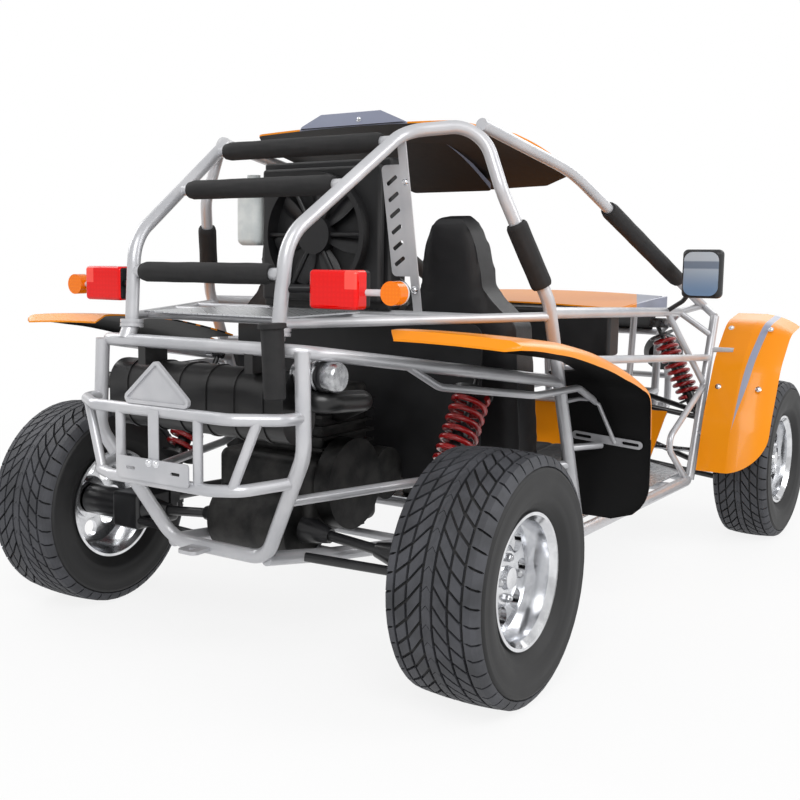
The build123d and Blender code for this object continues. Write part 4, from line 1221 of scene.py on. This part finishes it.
def sewn(mesh, middle):  # pleats between two long seams in front, piping round the back
    normals = [v.normal.copy() for v in mesh.vertices]
    half = seatPad["seamHalf"]

    def dip(distance):
        return math.exp(-(distance / half) ** 2 * 1.5)

    for vertex, normal in zip(mesh.vertices, normals):
        x, z = abs(vertex.co.x - middle), vertex.co.z
        upright = z > seatPad["cushion"]
        front = max(0.0, normal.y if upright else normal.z)
        way = z if upright else vertex.co.y
        sink = dip(x - seatPad["panel"]) * front
        if x < seatPad["panel"] and z < seatPad["pleatTop"]:
            row = (way / seatPad["pleat"]) % 1.0
            sink = max(sink, dip(min(row, 1 - row) * seatPad["pleat"]) * front)
        swell = 0.0
        if z > seatPad["pipingFrom"]:
            swell = seatPad["piping"] * dip((normal.y + 0.66) * 0.05)
        vertex.co += normal * (swell - seatPad["seam"] * sink)
    return mesh


def buildSeats():
    node, middle = nodes["seat_right"], seatPad["middle"]
    mesh = node.data.copy()
    mesh.transform(node.matrix_world)
    pad = modified(mesh, "REMESH", {"mode": "VOXEL", "voxel_size": seatPad["voxel"]})
    for vertex, normal in zip(pad.vertices, [v.normal.copy() for v in pad.vertices]):
        vertex.co -= normal * seatPad["inset"]
    for vertex in pad.vertices:
        rise = max(0.0, vertex.co.z - seatPad["neck"]) / seatPad["head"]
        slim = min(1.0, max(0.0, (vertex.co.z - seatPad["slimFrom"]) / seatPad["slimOver"]))
        narrow = 1 - seatPad["slim"] * slim * slim * (3 - 2 * slim)
        narrow *= math.sqrt(max(seatPad["domeLeast"], 1 - (rise * seatPad["dome"]) ** 2))
        vertex.co.x = middle + seatPad["shift"] + (vertex.co.x - middle) * narrow
        vertex.co.z += seatPad["lift"] * rise
    pad = swollen(pad)
    right = modified(sewn(pad, middle), "SUBSURF", {"levels": 1})
    left = right.copy()
    left.transform(Matrix.Translation((-seatPad["apart"], 0, 0)))
    for side, mesh in (("right", right), ("left", left)):
        thing = piece(f"seat_pad_{side}", mesh, "seatVinyl")
        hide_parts(f"seat_{side}")


buildSeats()
print("seats filled")


# floor, light and camera

def buildStage():
    shape = bmesh.new()
    bmesh.ops.create_grid(shape, x_segments=1, y_segments=1, size=30)
    floor = bpy.data.objects.new("floor", toMesh("floor", shape))
    scene.collection.objects.link(floor)
    material, place = newFinish("paleFloor")
    setFinish(material, {"Base Color": (0.86, 0.86, 0.86, 1), "Roughness": 0.9, "Specular IOR Level": 0.0})
    floor.data.materials.append(material)
    tree = material.node_tree
    path = place.make("ShaderNodeLightPath", out="Is Camera Ray")
    mirrored = place.make("ShaderNodeLightPath", out="Is Glossy Ray")
    through = place.make("ShaderNodeLightPath", out="Is Transmission Ray")
    glow = place.make("ShaderNodeEmission", None, {"Color": (1, 1, 1, 1), "Strength": 1.0})
    shadowed = Socket(tree, tree.nodes["Principled BSDF"].outputs[0])
    away = place.make("ShaderNodeVectorMath", {"operation": "LENGTH"}, {0: place}, out="Value")
    seen = (path + mirrored + through).clamped() * (0.86 + away.step(1.8, 4.5) * 0.14)
    blend = place.make("ShaderNodeMixShader", None, {0: seen, 1: shadowed, 2: glow})
    tree.links.new(blend.link, tree.nodes["Material Output"].inputs["Surface"])


def buildWorld():
    world = bpy.data.worlds.new("studio")
    scene.world = world
    world.use_nodes = True
    tree = world.node_tree
    start = Socket(tree)
    direct = start.make("ShaderNodeLightPath", out="Is Camera Ray")
    through = start.make("ShaderNodeLightPath", out="Is Transmission Ray")
    mirrored = start.make("ShaderNodeLightPath", out="Is Glossy Ray")
    seen = (direct + through + mirrored * 0.6).clamped()
    strength = 0.42 + seen * 0.58
    light = start.make("ShaderNodeBackground", None, {"Color": (1, 1, 1, 1), "Strength": strength})
    tree.links.new(light.link, tree.nodes["World Output"].inputs["Surface"])


lamps = {  # place, aim, size, watts
    "key": ((2.6, -4.4, 4.2), (0.0, -0.4, 0.6), 3.0, 185),
    "side": ((5.0, 1.0, 3.2), (0.3, 0.2, 0.6), 3.0, 105),
    "back": ((-4.5, -1.0, 3.5), (0.0, -0.2, 0.7), 3.0, 95),
    "front": ((0.5, 5.0, 3.8), (0.0, 0.8, 0.6), 3.0, 62),
}


def buildLamps():
    for name, (place, aim, size, watts) in lamps.items():
        data = bpy.data.lights.new(name, "AREA")
        data.shape = "SQUARE"
        data.size = size
        data.energy = watts
        lamp = bpy.data.objects.new(name, data)
        lamp.location = place
        lamp.rotation_euler = (Vector(aim) - Vector(place)).to_track_quat("-Z", "Y").to_euler()
        scene.collection.objects.link(lamp)


photoCamera = {
    "place": (1.9234, -3.4442, 1.0803), "yaw": -0.6433, "pitch": -0.1252, "roll": 0.0039,
    "lens": 51.13, "shiftX": 0.1234, "shiftY": -0.008,
}


def buildCamera():
    c = photoCamera
    data = bpy.data.cameras.new("photo")
    data.sensor_width = 36.0
    data.lens = c["lens"]
    data.shift_x = c["shiftX"]
    data.shift_y = c["shiftY"]
    camera = bpy.data.objects.new("photo", data)
    level = math.cos(c["pitch"])
    ahead = Vector((level * math.sin(c["yaw"]), level * math.cos(c["yaw"]), math.sin(c["pitch"])))
    turn = ahead.to_track_quat("-Z", "Y").to_matrix() @ Matrix.Rotation(c["roll"], 3, "Z")
    camera.matrix_world = Matrix.Translation(c["place"]) @ turn.to_4x4()
    scene.collection.objects.link(camera)
    scene.camera = camera


buildStage()
buildWorld()
buildLamps()
buildCamera()
scene.view_settings.view_transform = "Standard"
print("stage set")
